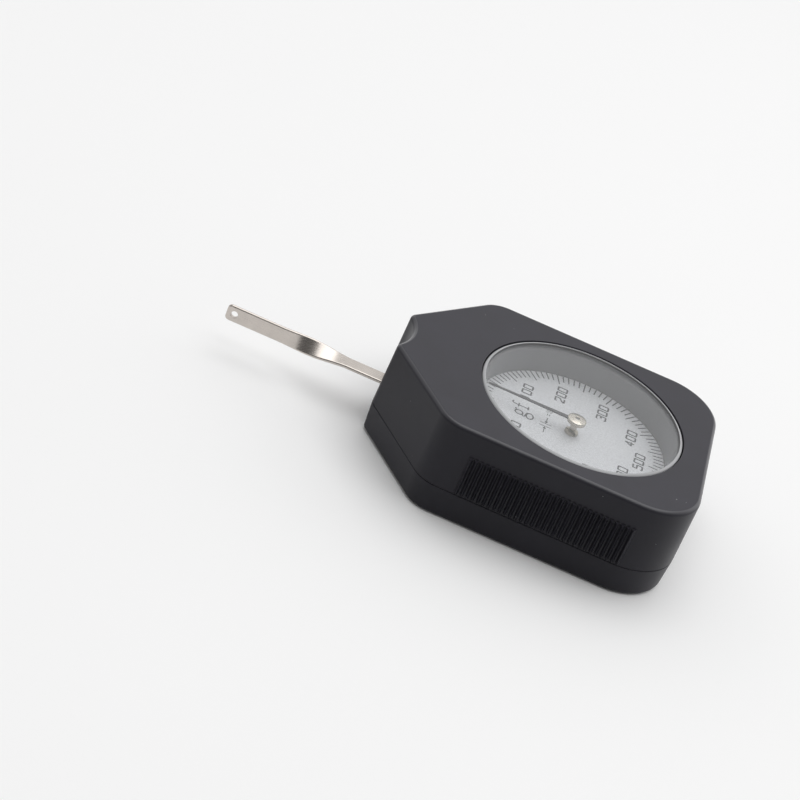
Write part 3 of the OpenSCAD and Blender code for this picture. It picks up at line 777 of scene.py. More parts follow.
def rub_group(name):
    """Edges that handling has rubbed: where the rounded normal departs from the face."""
    tree, given, result = new_group(name, {"Radius": 0.0003, "Patch Size": 0.002}, ("Mask",))
    rounded = add_node(tree, "ShaderNodeBevel", {"Radius": given["Radius"]}, samples=6).outputs["Normal"]
    plain = add_node(tree, "ShaderNodeNewGeometry").outputs["Normal"]
    match = add_node(tree, "ShaderNodeVectorMath", {0: rounded, 1: plain}, operation="DOT_PRODUCT")
    edge = remap(tree, match.outputs["Value"], RUBBED_BEND)
    patches = noise(tree, given["Vector"], per(tree, given["Patch Size"]), Detail=3.0)
    worn = remap(tree, patches, RUBBED_PATCH)
    return give(tree, result, Mask=calculate(tree, "MULTIPLY", edge, worn))


def turned_group(name):
    """Fine tool rings round an upright axis."""
    tree, given, result = new_group(name, {"Pitch": 0.00008}, ("Height", "Drift"))
    parts = parts_of(tree, given["Vector"])
    squares = [calculate(tree, "POWER", parts[axis], 2.0) for axis in "XY"]
    radius = calculate(tree, "SQRT", calculate(tree, "ADD", *squares))
    along = calculate(tree, "ADD", radius, parts["Z"])
    place = add_node(tree, "ShaderNodeCombineXYZ", {"X": along}).outputs["Vector"]
    rings = noise(tree, place, per(tree, given["Pitch"]), Detail=2.0)
    broad = noise(tree, given["Vector"], TURNED_DRIFT, Detail=3.0)
    return give(tree, result, Height=rings, Drift=broad)


def brushed_group(name):
    """Polishing lines that run along X."""
    tree, given, result = new_group(name, {"Line Width": 0.00006, "Stretch": 0.02}, ("Height", "Drift"))
    ratio = add_node(tree, "ShaderNodeCombineXYZ", {"X": given["Stretch"], "Y": 1.0, "Z": 1.0})
    inputs = {0: given["Vector"], 1: ratio.outputs["Vector"]}
    stretched = add_node(tree, "ShaderNodeVectorMath", inputs, operation="MULTIPLY").outputs["Vector"]
    lines = noise(tree, stretched, per(tree, given["Line Width"]), Detail=2.0)
    broad = noise(tree, given["Vector"], BRUSHED_DRIFT, Detail=4.0)
    return give(tree, result, Height=lines, Drift=broad)


EFFECTS = {
    "Fine Grain": grain_group,
    "Dust Specks": speck_group,
    "Rubbed Edges": rub_group,
    "Turned Rings": turned_group,
    "Brushed Lines": brushed_group,
}


def effect(tree, name, coords, **values):
    """Places a node group in a material, building it the first time, and gives back its outputs."""
    group = bpy.data.node_groups.get(name) or EFFECTS[name](name)
    node = add_node(tree, "ShaderNodeGroup", node_tree=group)
    tree.links.new(coords, node.inputs["Vector"])
    for label, value in values.items():
        node.inputs[label.replace("_", " ").title()].default_value = value
    return node.outputs


# Finishes

# Colour sockets of a Mix node, which share their names with its other sockets
MIX_FIRST = 6
MIX_SECOND = 7
MIX_RESULT = 2

# Spans of a noise over which it takes effect
NARROW = (0.3, 0.7)
WIDE = (0.25, 0.75)
SMUDGED = (0.45, 0.75)
STIPPLED = (0.36, 0.64)
CLOUDED = (0.35, 0.75)
THIN_INK = (0.5, 0.8)

# Polish of the front rim at its strongest, and how upright the surface is where it sets in and fades out
RIM_POLISH = 0.75
RIM_AT_FACE = (0.99, 0.95)
RIM_AT_WALL = (0.4, 0.65)

CRYSTAL_IOR = 1.49


def new_finish(name, values=()):
    """Starts a material with plain values; gives back it, its tree, its shader and its object coordinates."""
    material = bpy.data.materials.new(name)
    material.use_nodes = True
    tree = material.node_tree
    shader = tree.nodes["Principled BSDF"]
    for label, value in dict(values).items():
        shader.inputs[label].default_value = value
    coords = add_node(tree, "ShaderNodeTexCoord").outputs["Object"]
    return material, tree, shader, coords


def paint(tree, shader, base, other, mask):
    """Mixes two colours by a mask into the shader's base colour, over what is already there."""
    if not isinstance(base, bpy.types.NodeSocket):
        base = (*base, 1.0)
    inputs = {"Factor": mask, MIX_FIRST: base, MIX_SECOND: (*other, 1.0)}
    mixed = add_node(tree, "ShaderNodeMix", inputs, data_type="RGBA").outputs[MIX_RESULT]
    tree.links.new(mixed, shader.inputs["Base Color"])
    return mixed


def scaled(colour, factor):
    """A colour made lighter or darker."""
    return tuple(min(1.0, channel * factor) for channel in colour)


def mottle(tree, shader, colour, mask, darker, lighter):
    """Lets a mask vary the base colour between a darker and a lighter tone of a colour."""
    return paint(tree, shader, scaled(colour, darker), scaled(colour, lighter), mask)


def roughen(tree, shader, value, span, smooth, rough):
    """Lets a span of values vary the roughness."""
    tree.links.new(remap(tree, value, span, smooth, rough), shader.inputs["Roughness"])


def emboss(tree, shader, height, depth, strength):
    """Feeds a height through a Bump node into the shader's normal."""
    bump = add_node(tree, "ShaderNodeBump", {"Height": height, "Distance": depth, "Strength": strength})
    tree.links.new(bump.outputs["Normal"], shader.inputs["Normal"])


def rim_polish(tree, coords):
    """A mask for the rounded rim of the front face, which handling has polished."""
    facing = add_node(tree, "ShaderNodeTexCoord").outputs["Normal"]
    upright = calculate(tree, "ABSOLUTE", parts_of(tree, facing)["Z"])
    past_face = remap(tree, upright, RIM_AT_FACE, 0.0, RIM_POLISH)
    turned = calculate(tree, "MULTIPLY", past_face, remap(tree, upright, RIM_AT_WALL))
    rounding = bpy.context.scene.gauge_case.face_round
    near_face = remap(tree, parts_of(tree, coords)["Z"], (FACE - 2 * rounding, FACE - rounding))
    return calculate(tree, "MULTIPLY", turned, near_face)


def case_plastic(name):
    """Charcoal moulded plastic with a fine grain, rubbed edges, a little dust and a polished front rim."""
    colours = bpy.context.scene.gauge_colours
    values = {"Specular IOR Level": 0.25, "Coat Roughness": 0.3}
    material, tree, shader, coords = new_finish(name, values)
    grain = effect(tree, "Fine Grain", coords, size=0.00022, drift_size=0.009)
    tone = remap(tree, grain["Drift"], NARROW)
    base = mottle(tree, shader, colours.case, tone, darker=0.88, lighter=1.14)
    rubbed = effect(tree, "Rubbed Edges", coords, radius=0.00025, patch_size=0.0022)
    base = paint(tree, shader, base, colours.case_worn, rubbed["Mask"])
    specks = effect(tree, "Dust Specks", coords, spacing=0.0026, largest=0.07)
    paint(tree, shader, base, colours.dust, specks["Mask"])
    roughen(tree, shader, grain["Drift"], WIDE, smooth=0.36, rough=0.46)
    tree.links.new(rim_polish(tree, coords), shader.inputs["Coat Weight"])
    emboss(tree, shader, grain["Height"], depth=0.00002, strength=0.3)
    return material


def clear_crystal(name):
    """Polished clear plastic that lets lamp light through to the dial."""
    colours = bpy.context.scene.gauge_colours
    values = {"Base Color": (*colours.crystal, 1.0), "Transmission Weight": 1.0, "IOR": CRYSTAL_IOR}
    material, tree, shader, coords = new_finish(name, values)
    smudge = effect(tree, "Fine Grain", coords, size=0.004, drift_size=0.011)
    roughen(tree, shader, smudge["Drift"], SMUDGED, smooth=0.0, rough=0.05)
    lit = add_node(tree, "ShaderNodeLightPath").outputs["Is Shadow Ray"]
    passing = add_node(tree, "ShaderNodeBsdfTransparent", {"Color": (*colours.crystal_light, 1.0)})
    inputs = {0: lit, 1: shader.outputs[0], 2: passing.outputs[0]}
    mixed = add_node(tree, "ShaderNodeMixShader", inputs).outputs[0]
    tree.links.new(mixed, tree.nodes["Material Output"].inputs["Surface"])
    return material


def rim_painted_reflection(name):
    """Opaque grey on the crystal's rounded rim, a painted reflection: it stands in for the light that the clear
    polished rim bends and reflects, with fine turned rings.
    """
    colours = bpy.context.scene.gauge_colours
    material, tree, shader, coords = new_finish(name, {"IOR": CRYSTAL_IOR})
    rings = effect(tree, "Turned Rings", coords, pitch=0.00005)
    # Painted reflection: grey with pale rings in place of the light that the clear rim bends and reflects
    paint(tree, shader, colours.edge, colours.edge_pale_reflection, remap(tree, rings["Height"], NARROW))
    roughen(tree, shader, rings["Drift"], NARROW, smooth=0.12, rough=0.24)
    emboss(tree, shader, rings["Height"], depth=0.00001, strength=0.15)
    return material


def ring_plastic(name):
    """Smooth grey plastic of the spacer ring."""
    colour = bpy.context.scene.gauge_colours.ring
    material, tree, shader, coords = new_finish(name)
    grain = effect(tree, "Fine Grain", coords, size=0.00045, drift_size=0.008)
    mottle(tree, shader, colour, remap(tree, grain["Drift"], NARROW), darker=0.95, lighter=1.06)
    roughen(tree, shader, grain["Drift"], NARROW, smooth=0.12, rough=0.18)
    emboss(tree, shader, grain["Height"], depth=0.00001, strength=0.12)
    return material


def dial_lacquer(name):
    """Silver lacquer with a fine stipple."""
    colour = bpy.context.scene.gauge_colours.dial
    material, tree, shader, coords = new_finish(name, {"Metallic": 0.25})
    grain = effect(tree, "Fine Grain", coords, size=0.00048, drift_size=0.007)
    fleck = remap(tree, grain["Height"], STIPPLED)
    base = mottle(tree, shader, colour, fleck, darker=0.84, lighter=1.12)
    cloud = remap(tree, grain["Drift"], CLOUDED, 0.0, 0.25)
    paint(tree, shader, base, scaled(colour, 0.90), cloud)
    roughen(tree, shader, grain["Height"], NARROW, smooth=0.36, rough=0.50)
    emboss(tree, shader, grain["Height"], depth=0.00003, strength=0.35)
    return material


def dial_ink(name):
    """Dark grey print, slightly thin in places."""
    colour = bpy.context.scene.gauge_colours.ink
    material, tree, shader, coords = new_finish(name)
    grain = effect(tree, "Fine Grain", coords, size=0.00015, drift_size=0.002)
    thin = remap(tree, grain["Height"], THIN_INK, 0.0, 0.5)
    mottle(tree, shader, colour, thin, darker=1.0, lighter=3.0)
    roughen(tree, shader, grain["Drift"], NARROW, smooth=0.42, rough=0.55)
    emboss(tree, shader, grain["Height"], depth=0.00001, strength=0.2)
    return material


def needle_paint(name):
    """Satin dark grey paint on the needle."""
    colour = bpy.context.scene.gauge_colours.needle
    material, tree, shader, coords = new_finish(name, {"Metallic": 0.4})
    lines = effect(tree, "Brushed Lines", coords, line_width=0.00005, stretch=0.03)
    tone = remap(tree, lines["Height"], NARROW)
    base = mottle(tree, shader, colour, tone, darker=0.85, lighter=1.2)
    rubbed = effect(tree, "Rubbed Edges", coords, radius=0.00006, patch_size=0.001)
    paint(tree, shader, base, scaled(colour, 4.0), rubbed["Mask"])
    roughen(tree, shader, lines["Drift"], NARROW, smooth=0.30, rough=0.40)
    emboss(tree, shader, lines["Height"], depth=0.000008, strength=0.2)
    return material


# Bare and plated metals: colour, tool marks and their sizes, least and most roughness, depth and
# strength of the marks
ROLLED = {"line_width": 0.00007, "stretch": 0.015}
BRUSHED = {"line_width": 0.00008, "stretch": 0.03}
TEMPERED = {"size": 0.0002, "drift_size": 0.003}
METALS = {
    "Lever nickel": ("nickel", "Brushed Lines", ROLLED, 0.20, 0.31, 0.000004, 0.12),
    "Hub plating": ("hub", "Turned Rings", {"pitch": 0.00005}, 0.20, 0.30, 0.000003, 0.06),
    "Collar plating": ("collar", "Turned Rings", {"pitch": 0.00006}, 0.30, 0.42, 0.000006, 0.2),
    "Movement brass": ("brass", "Brushed Lines", BRUSHED, 0.22, 0.36, 0.000006, 0.2),
    "Turned steel": ("steel", "Turned Rings", {"pitch": 0.00007}, 0.20, 0.34, 0.000006, 0.2),
    "Spring steel": ("spring", "Fine Grain", TEMPERED, 0.20, 0.32, 0.000004, 0.15),
}


def metal(name):
    """A bare or plated metal with tool marks, a drift of tone and brighter edges."""
    tone_name, marks_name, sizes, smooth, rough, depth, strength = METALS[name]
    colour = getattr(bpy.context.scene.gauge_colours, tone_name)
    material, tree, shader, coords = new_finish(name, {"Metallic": 1.0})
    marks = effect(tree, marks_name, coords, **sizes)
    tone = remap(tree, marks["Drift"], NARROW)
    base = mottle(tree, shader, colour, tone, darker=0.93, lighter=1.03)
    rubbed = effect(tree, "Rubbed Edges", coords, radius=0.00008, patch_size=0.0012)
    paint(tree, shader, base, scaled(colour, 1.18), rubbed["Mask"])
    roughen(tree, shader, marks["Height"], WIDE, smooth, rough)
    emboss(tree, shader, marks["Height"], depth, strength)
    return material


FINISHES = {
    "Charcoal plastic": case_plastic,
    "Clear crystal": clear_crystal,
    "Crystal edge": rim_painted_reflection,
    "Ring plastic": ring_plastic,
    "Dial lacquer": dial_lacquer,
    "Dial ink": dial_ink,
    "Needle paint": needle_paint,
}


def finish_named(name):
    """A finish from its name, built the first time; what isn't listed above is a metal."""
    return bpy.data.materials.get(name) or FINISHES.get(name, metal)(name)


# Operators


class GaugeOperator:
    """What every step of the build shares."""

    bl_options = {"REGISTER", "UNDO"}


class GAUGE_OT_front_case(GaugeOperator, bpy.types.Operator):
    """Models the front shell with its window, grip ridges, posts and lever slot"""

    bl_idname = "gauge.front_case"
    bl_label = "Front Case"

    def ridges(self, sizes, grip):
        """A strip of ridges for one long side, rooted in the wall."""
        first = -grip.pitch * grip.ridges / 2
        foot = PARTING + grip.foot
        top = FACE - grip.drop
        valley = HALF_WIDTH - sizes.draft
        root = HALF_WIDTH - sizes.wall / 2
        crest = FRONT_HIGH.y
        piece = new_point("grip_ridges", (first, valley, foot))
        line_to((first + grip.pitch / 2, crest, foot))
        line_to((first + grip.pitch, valley, foot))
        pick("VERT", lambda vertex: abs(vertex.co.y - crest) < TINY)
        bpy.ops.mesh.bevel(offset=grip.crest, segments=2, affect="VERTICES", clamp_overlap=False)
        close_mesh()
        modify(
            piece, "ARRAY", count=grip.ridges, use_relative_offset=False, use_constant_offset=True,
            constant_offset_displace=(grip.pitch, 0, 0), use_merge_vertices=True, merge_threshold=TINY,
        )
        open_mesh(piece)
        pick("VERT", lambda vertex: abs(vertex.co.x - first) < TINY)
        line_to((first, root, foot))
        line_to((-first, root, foot))
        line_to((-first, valley, foot))
        select_mesh()
        bpy.ops.mesh.remove_doubles(threshold=TINY)
        bpy.ops.mesh.edge_face_add()
        extrude((0, 0, top - foot))
        heal()
        close_mesh()
        return piece

    def execute(self, context):
        sizes = context.scene.gauge_case
        grip = context.scene.gauge_grip
        screws = context.scene.gauge_screws
        under = FACE - sizes.face
        piece = shell_body("front_shell", sizes, FACE, sizes.face_round, segments=8)
        lip_room = PARTING + sizes.lip + OVERSHOOT / 2
        cut(
            piece,
            outline_prism("hollow", sizes, sizes.wall + sizes.draft, PARTING - OVERSHOOT, under),
            outline_prism("lip_room", sizes, sizes.wall, PARTING - OVERSHOOT, lip_room),
        )
        strip = self.ridges(sizes, grip)
        weld(piece, strip, mirror_across(strip))
        for place in post_places(screws):
            weld(piece, rod("post", screws.post, PARTING, under + OVERSHOOT / 2, place, sides=40))
        hole_end = SCREWS_HIGH.z + OVERSHOOT
        for place in post_places(screws):
            cut(piece, rod("screw_hole", screws.shank, PARTING - OVERSHOOT, hole_end, place, sides=32))
        cut(
            piece,
            rod("window", sizes.window, under - OVERSHOOT, FACE + OVERSHOOT, sides=LARGE_ROUND),
            block(
                "slot",
                (NOSE - OVERSHOOT, -sizes.slot_half, PARTING - OVERSHOOT),
                (NOSE + sizes.slot_deep, sizes.slot_half, PARTING + sizes.slot_high),
            ),
        )
        open_mesh(piece)

        def window_edge(edge):
            on_circle = all(abs(vertex.co.xy.length - sizes.window) < TINY for vertex in edge.verts)
            return on_circle and level(FACE)(edge)

        round_edges(window_edge, sizes.window_round, segments=2)
        close_mesh()
        finish_piece(piece, "case", "case", "Charcoal plastic", "front_case")
        return {"FINISHED"}


class GAUGE_OT_back_cover(GaugeOperator, bpy.types.Operator):
    """Models the back shell with its lip, bosses and screw recesses"""

    bl_idname = "gauge.back_cover"
    bl_label = "Back Cover"

    def execute(self, context):
        sizes = context.scene.gauge_case
        screws = context.scene.gauge_screws
        lip_top = PARTING + sizes.lip
        lip_in = sizes.wall + sizes.lip_gap
        piece = shell_body("back_shell", sizes, 0.0, sizes.back_round, segments=6)
        weld(piece, outline_prism("lip", sizes, lip_in, PARTING - OVERSHOOT / 2, lip_top))
        hollow = outline_prism("hollow", sizes, lip_in + sizes.lip_wall, sizes.floor, lip_top + OVERSHOOT)
        slot = block(
            "slot",
            (NOSE - OVERSHOOT, -sizes.slot_half, PARTING),
            (NOSE + sizes.slot_deep + sizes.wall, sizes.slot_half, lip_top + OVERSHOOT),
        )
        cut(piece, hollow, slot)
        room = screws.post + sizes.lip_gap
        for place in post_places(screws):
            cut(piece, rod("post_room", room, PARTING, lip_top + OVERSHOOT, place, sides=40))
        for place in post_places(screws):
            weld(piece, rod("boss", screws.boss, sizes.floor - OVERSHOOT / 2, PARTING, place, sides=40))
        recess = screws.head + screws.head_room
        through = screws.shank + sizes.lip_gap
        for place in post_places(screws):
            cut(piece, rod("recess", recess, -OVERSHOOT, screws.seat, place, sides=48))
            cut(piece, rod("through", through, 0.0, PARTING + OVERSHOOT, place, sides=32))
        open_mesh(piece)

        def recess_edge(edge):
            near = any(
                all(abs((vertex.co.xy - Vector(place)).length - recess) < TINY for vertex in edge.verts)
                for place in post_places(screws)
            )
            return near and level(0.0)(edge)

        round_edges(recess_edge, sizes.seam, segments=2)
        close_mesh()
        finish_piece(piece, "case", "case", "Charcoal plastic", "back_cover")
        return {"FINISHED"}


# Dome of a screw's head, as shares of the head's radius and of the dome's height
SCREW_DOME = ((0.55, 0.18), (0.84, 0.5), (1.0, 1.0))

# Share of the head's height that is domed, and of the shank's radius that its point takes off
DOMED_SHARE = 0.35
POINTED_SHARE = 0.4


class GAUGE_OT_case_screws(GaugeOperator, bpy.types.Operator):
    """Models one cross-head case screw and copies it to the four posts"""

    bl_idname = "gauge.case_screws"
    bl_label = "Case Screws"

    def execute(self, context):
        screws = context.scene.gauge_screws
        low = SCREWS_LOW.z
        top = SCREWS_HIGH.z
        crown = screws.head_high * DOMED_SHARE
        point = screws.shank * POINTED_SHARE
        profile = (
            (0, low),
            *((screws.head * across, low + crown * up) for across, up in SCREW_DOME),
            (screws.head, screws.seat),
            (screws.shank, screws.seat),
            (screws.shank, top - point),
            (screws.shank - point, top),
            (0, top),
        )
        piece = lathe("screw_head", profile, steps=48)
        half_long = screws.cross_long / 2
        half_wide = screws.cross_wide / 2
        floor = low + screws.head_high / 2
        cut(
            piece,
            block("cross", (-half_long, -half_wide, low - OVERSHOOT), (half_long, half_wide, floor)),
            block("cross", (-half_wide, -half_long, low - OVERSHOOT), (half_wide, half_long, floor)),
        )
        copies = [copy_of(piece, (x, y, 0)) for x, y in post_places(screws)]
        bpy.data.objects.remove(piece)
        piece = gather("case_fasteners", copies)
        finish_piece(piece, "case", "steel", "Turned steel", "case_screws")
        return {"FINISHED"}


class GAUGE_OT_crystal(GaugeOperator, bpy.types.Operator):
    """Models the clear crystal, its rounded rim painted grey to stand in for the light it bends and reflects"""

    bl_idname = "gauge.crystal"
    bl_label = "Crystal"

    def execute(self, context):
        sizes = context.scene.gauge_dial
        radius = CRYSTAL_HIGH.x
        low = CRYSTAL_LOW.z
        top = CRYSTAL_HIGH.z
        profile = [(0, low), (radius, low)]
        rim_steps = 8
        for step in range(rim_steps + 1):
            turn = QUARTER * step / rim_steps
            inward = sizes.rim_wide * (1 - math.cos(turn))
            profile.append((radius - inward, top - sizes.rim_high * (1 - math.sin(turn))))
        profile.append((0, top))
        piece = lathe("crystal_disc", profile, LARGE_ROUND)
        # The rim's faces take the painted reflection finish; the rest of the disc stays clear
        for finish in ("Clear crystal", "Crystal edge"):
            piece.data.materials.append(finish_named(finish))
        for face in piece.data.polygons:
            if face.center.xy.length > radius - sizes.rim_wide and face.center.z > low + TINY:
                face.material_index = 1
        finish_piece(piece, "case", "crystal", "Clear crystal", "crystal")
        return {"FINISHED"}


class GAUGE_OT_spacer_ring(GaugeOperator, bpy.types.Operator):
    """Models the grey ring between the crystal and the dial"""

    bl_idname = "gauge.spacer_ring"
    bl_label = "Spacer Ring"

    def execute(self, context):
        sizes = context.scene.gauge_dial
        case = context.scene.gauge_case
        low = RING_LOW.z
        top = RING_HIGH.z
        outer = CRYSTAL_HIGH.x
        under = FACE - case.face
        inner_top = outer - sizes.ring_top
        inner_foot = outer - sizes.ring_foot
        step = top - sizes.ring_step
        share_down = sizes.ring_step / (top - low)
        at_step = inner_top - (inner_top - inner_foot) * share_down
        piece = lathe(
            "spacer_wall",
            (
                (inner_foot, low),
                (outer, low),
                (outer, under - sizes.flange),
                (RING_HIGH.x, under - sizes.flange),
                (RING_HIGH.x, under),
                (outer, under),
                (outer, top),
                (inner_top, top),
                (at_step + sizes.step_deep, step),
                (at_step, step - sizes.step_deep),
                (inner_foot, low),
            ),
            LARGE_ROUND,
        )
        break_edges(piece, sizes.ring_edge)
        finish_piece(piece, "case", "ring", "Ring plastic", "spacer_ring")
        return {"FINISHED"}


# Strokes of each digit, as shares of its width and height, across and up from its lower left corner
DIGITS = {
    "0": (((0, 0), (1, 0), (1, 1), (0, 1), (0, 0)),),
    "1": (((0.2, 0.76), (0.58, 1), (0.58, 0)),),
    "2": (((0, 0.78), (0, 1), (1, 1), (1, 0.56), (0, 0.12), (0, 0), (1, 0)),),
    "3": (
        ((0, 0.84), (0, 1), (1, 1), (1, 0.53), (0.35, 0.53)),
        ((0.74, 0.53), (1, 0.46), (1, 0), (0, 0), (0, 0.16)),
    ),
    "4": (((0.72, 0), (0.72, 1), (0, 0.3), (1.04, 0.3)),),
    "5": (((0.95, 1), (0.04, 1), (0.04, 0.58), (1, 0.58), (1, 0), (0, 0), (0, 0.14)),),
}

# Middle of each label: right of the zero line and up from the needle's axis, in millimetres
LABELS = (("100", 8.9, 12.75), ("200", 14.1, 4.8), ("300", 14.0, -5.8), ("400", 8.4, -13.9))
LOWEST_LABEL = ("500", 0.0, -17.1)

# Rounding of a tick's corners, as a share of its width
TICK_CORNER = 0.2


def on_dial(right, up):
    """A point on the dial, given in millimetres right of the zero line and up from the needle's axis."""
    return Vector((-up * MILLIMETRE, right * MILLIMETRE, DIAL_TOP))


def draw_stroke(points, corner):
    """Draws a stroke through points on the dial, its corners rounded."""
    new_point("stroke", points[0])
    for point in points[1:]:
        line_to(point)
    select_mesh()
    bpy.ops.mesh.remove_doubles(threshold=TINY)
    if corner:
        pick("VERT", lambda vertex: len(vertex.link_edges) == 2)
        bpy.ops.mesh.bevel(offset=corner, segments=5, affect="VERTICES", clamp_overlap=True)
    return close_mesh()


def draw_lines(lines):
    """Draws strokes on the dial, each from its points and the rounding of its corners, in millimetres."""
    return [
        draw_stroke([on_dial(*point) for point in points], corner * MILLIMETRE) for points, corner in lines
    ]


def draw_loop(right, up, half_wide, half_high):
    """Draws a round loop on the dial, its place and half sizes in millimetres."""
    middle = on_dial(right, up)
    select_only()
    bpy.ops.mesh.primitive_circle_add(vertices=28, radius=MILLIMETRE, location=middle)
    piece = name_new("loop")
    open_whole(piece)
    bpy.ops.transform.resize(value=(half_high, half_wide, 1), center_override=middle)
    return close_mesh()


def ink_stroke(stroke, width, ink):
    """Turns a drawn stroke into flat ink that lies on the dial."""
    select_only(stroke)
    bpy.ops.object.convert(target="CURVE")
    curve = bpy.context.object.data
    curve.bevel_depth = width / 2
    curve.bevel_resolution = 1
    curve.use_fill_caps = True
    bpy.ops.object.convert(target="MESH")
    piece = bpy.context.object
    open_mesh(piece)
    heal()
    bpy.ops.transform.resize(value=(1, 1, ink / width), center_override=(0, 0, DIAL_TOP))
    bpy.ops.transform.translate(value=(0, 0, ink / 2))
    return close_mesh()


def ink_strokes(name, strokes, width, ink):
    """Makes one piece of ink of several strokes."""
    piece, *others = [ink_stroke(stroke, width, ink) for stroke in strokes]
    weld(piece, *others)
    return gather(name, [piece])


class GAUGE_OT_dial(GaugeOperator, bpy.types.Operator):
    """Models the dial plate, its ticks, its numerals and its marks"""

    bl_idname = "gauge.dial"
    bl_label = "Dial"

    def plate(self, sizes):
        """The silver plate."""
        low = DIAL_LOW.z
        outer = DIAL_HIGH.x
        piece = lathe(
            "dial_plate",
            ((sizes.hole, low), (outer, low), (outer, DIAL_TOP), (sizes.hole, DIAL_TOP), (sizes.hole, low)),
            LARGE_ROUND,
        )
        break_edges(piece, sizes.plate_edge)
        finish_piece(piece, "case", "dial", "Dial lacquer", "dial")

    def tick(self, sizes, inner):
        """One tick on the zero line, with rounded corners."""
        wide = sizes.tick_wide
        middle = (-(sizes.tick_outer + inner) / 2, 0, DIAL_TOP)
        select_only()
        bpy.ops.mesh.primitive_plane_add(size=wide, location=middle)
        piece = name_new("tick")
        open_whole(piece)
        stretch = (sizes.tick_outer - inner) / wide
        bpy.ops.transform.resize(value=(stretch, 1, 1), center_override=middle)
        bpy.ops.mesh.bevel(offset=wide * TICK_CORNER, segments=2, affect="VERTICES")
        select_mesh()
        extrude((0, 0, sizes.ink))
        heal()
        close_mesh()
        return piece

    def spread(self, piece, copies, turn):
        """Copies a piece's mesh round the needle's axis."""
        open_whole(piece)
        bpy.ops.mesh.spin(
            dupli=True, steps=copies, angle=-turn * copies, center=(0, 0, 0), axis=(0, 0, 1),
            use_auto_merge=False,
        )
        close_mesh()

    def ticks(self, sizes):
        """The ticks: one long tick with the short ones after it, copied all round."""
        step = FULL_TURN / sizes.divisions
        short = self.tick(sizes, sizes.tick_short)
        turn_round(short, step)
        self.spread(short, sizes.long_every - 2, step)
        piece = gather("dial_ticks", [self.tick(sizes, sizes.tick_long), short])
        self.spread(piece, sizes.divisions // sizes.long_every - 1, sizes.long_every * step)
        open_mesh(piece)
        heal()
        close_mesh()
        finish_piece(piece, "case", "dial", "Dial ink")

    def digit(self, sizes, character):
        """One digit, its middle on the needle's axis."""
        strokes = []
        for points in DIGITS[character]:
            places = []
            for across, up in points:
                right = (across - 0.5) * sizes.digit_wide
                rise = (up - 0.5) * sizes.digit_high
                places.append(Vector((-rise, right, DIAL_TOP)))
            strokes.append(draw_stroke(places, sizes.digit_corner))
        return ink_strokes("digit", strokes, sizes.stroke, sizes.ink)

    def numerals(self, sizes):
        """The numerals on both sides of the dial."""
        patterns = {character: self.digit(sizes, character) for character in DIGITS}
        labels = [LOWEST_LABEL]
        for text, right, up in LABELS:
            labels.append((text, right, up))
            labels.append((text, -right, up))
        copies = []
        for text, right, up in labels:
            middle = (len(text) - 1) / 2
            for index, character in enumerate(text):
                offset = on_dial(right, up) + Vector((0, (index - middle) * sizes.digit_pitch, -DIAL_TOP))
                copies.append(copy_of(patterns[character], offset))
        for pattern in patterns.values():
            bpy.data.objects.remove(pattern)
        finish_piece(gather("dial_numerals", copies), "case", "dial", "Dial ink")

    def arrow(self, sizes, tip, way):
        """A solid arrowhead; way is 1 where it points to the right."""
        new_point("arrow_head", tip)
        for side in (-1, 1):
            line_to(tip + Vector((side * sizes.arrow_wide / 2, -way * sizes.arrow_long, 0)))
        select_mesh()
        bpy.ops.mesh.edge_face_add()
        extrude((0, 0, sizes.ink))
        heal()
        return close_mesh()

    def unit(self, sizes):
        """The unit: a letter g with two loops and a letter f with feet."""
        # The ear and the link of the g, then the stem, the bar and the foot of the f
        lines = (
            (((-0.25, 13.6), (0.05, 13.95), (0.45, 13.95)), 0.0),
            (((-1.55, 12.15), (-2.0, 11.75), (-1.75, 11.35), (-0.4, 11.2), (0.2, 10.9)), 0.25),
            (((2.0, 11.1), (2.0, 14.4), (2.25, 15.1), (2.85, 15.15), (3.0, 14.85)), 0.3),
            (((1.25, 13.5), (2.85, 13.5)), 0.0),
            (((1.35, 11.1), (2.7, 11.1)), 0.0),
        )
        strokes = draw_lines(lines)
        strokes.append(draw_loop(-0.95, 12.95, half_wide=0.85, half_high=0.95))
        strokes.append(draw_loop(-0.95, 10.25, half_wide=1.2, half_high=0.85))
        return ink_strokes("unit", strokes, sizes.unit_stroke, sizes.ink)

    def division(self, sizes):
        """The sign for one division: two bars between two arrows, and its value."""
        # Two bars, two arrow shafts, the two lines of an equals sign, and the 1 and the 0 of the value
        lines = (
            (((-2.2, 4.75), (-2.2, 7.65)), 0.0),
            (((-1.0, 4.75), (-1.0, 7.65)), 0.0),
            (((-5.0, 6.2), (-3.0, 6.2)), 0.0),
            (((1.7, 6.2), (-0.2, 6.2)), 0.0),
            (((2.75, 6.45), (3.45, 6.45)), 0.0),
            (((2.75, 5.95), (3.45, 5.95)), 0.0),
            (((3.95, 6.65), (4.25, 6.9), (4.25, 5.5)), 0.0),
            (((4.8, 5.5), (5.6, 5.5), (5.6, 6.9), (4.8, 6.9), (4.8, 5.5)), 0.25),
        )
        piece = ink_strokes("division", draw_lines(lines), sizes.fine_stroke, sizes.ink)
        left = self.arrow(sizes, on_dial(-2.35, 6.2), way=1)
        right = self.arrow(sizes, on_dial(-0.85, 6.2), way=-1)
        weld(piece, left, right)
        return piece

    def marks(self, sizes):
        """The unit and the sign for one division."""
        piece = gather("dial_marks", [self.unit(sizes), self.division(sizes)])
        finish_piece(piece, "case", "dial", "Dial ink")

    def execute(self, context):
        sizes = context.scene.gauge_dial
        self.plate(sizes)
        self.ticks(sizes)
        self.numerals(sizes)
        self.marks(sizes)
        return {"FINISHED"}


def faces_nose(face):
    """A test for faces that look to the nose, or nearly so."""
    return face.normal.x < -0.9


def ease(part):
    """Runs from 0 to 1 with a soft start and a soft end."""
    return part * part * (3 - 2 * part)


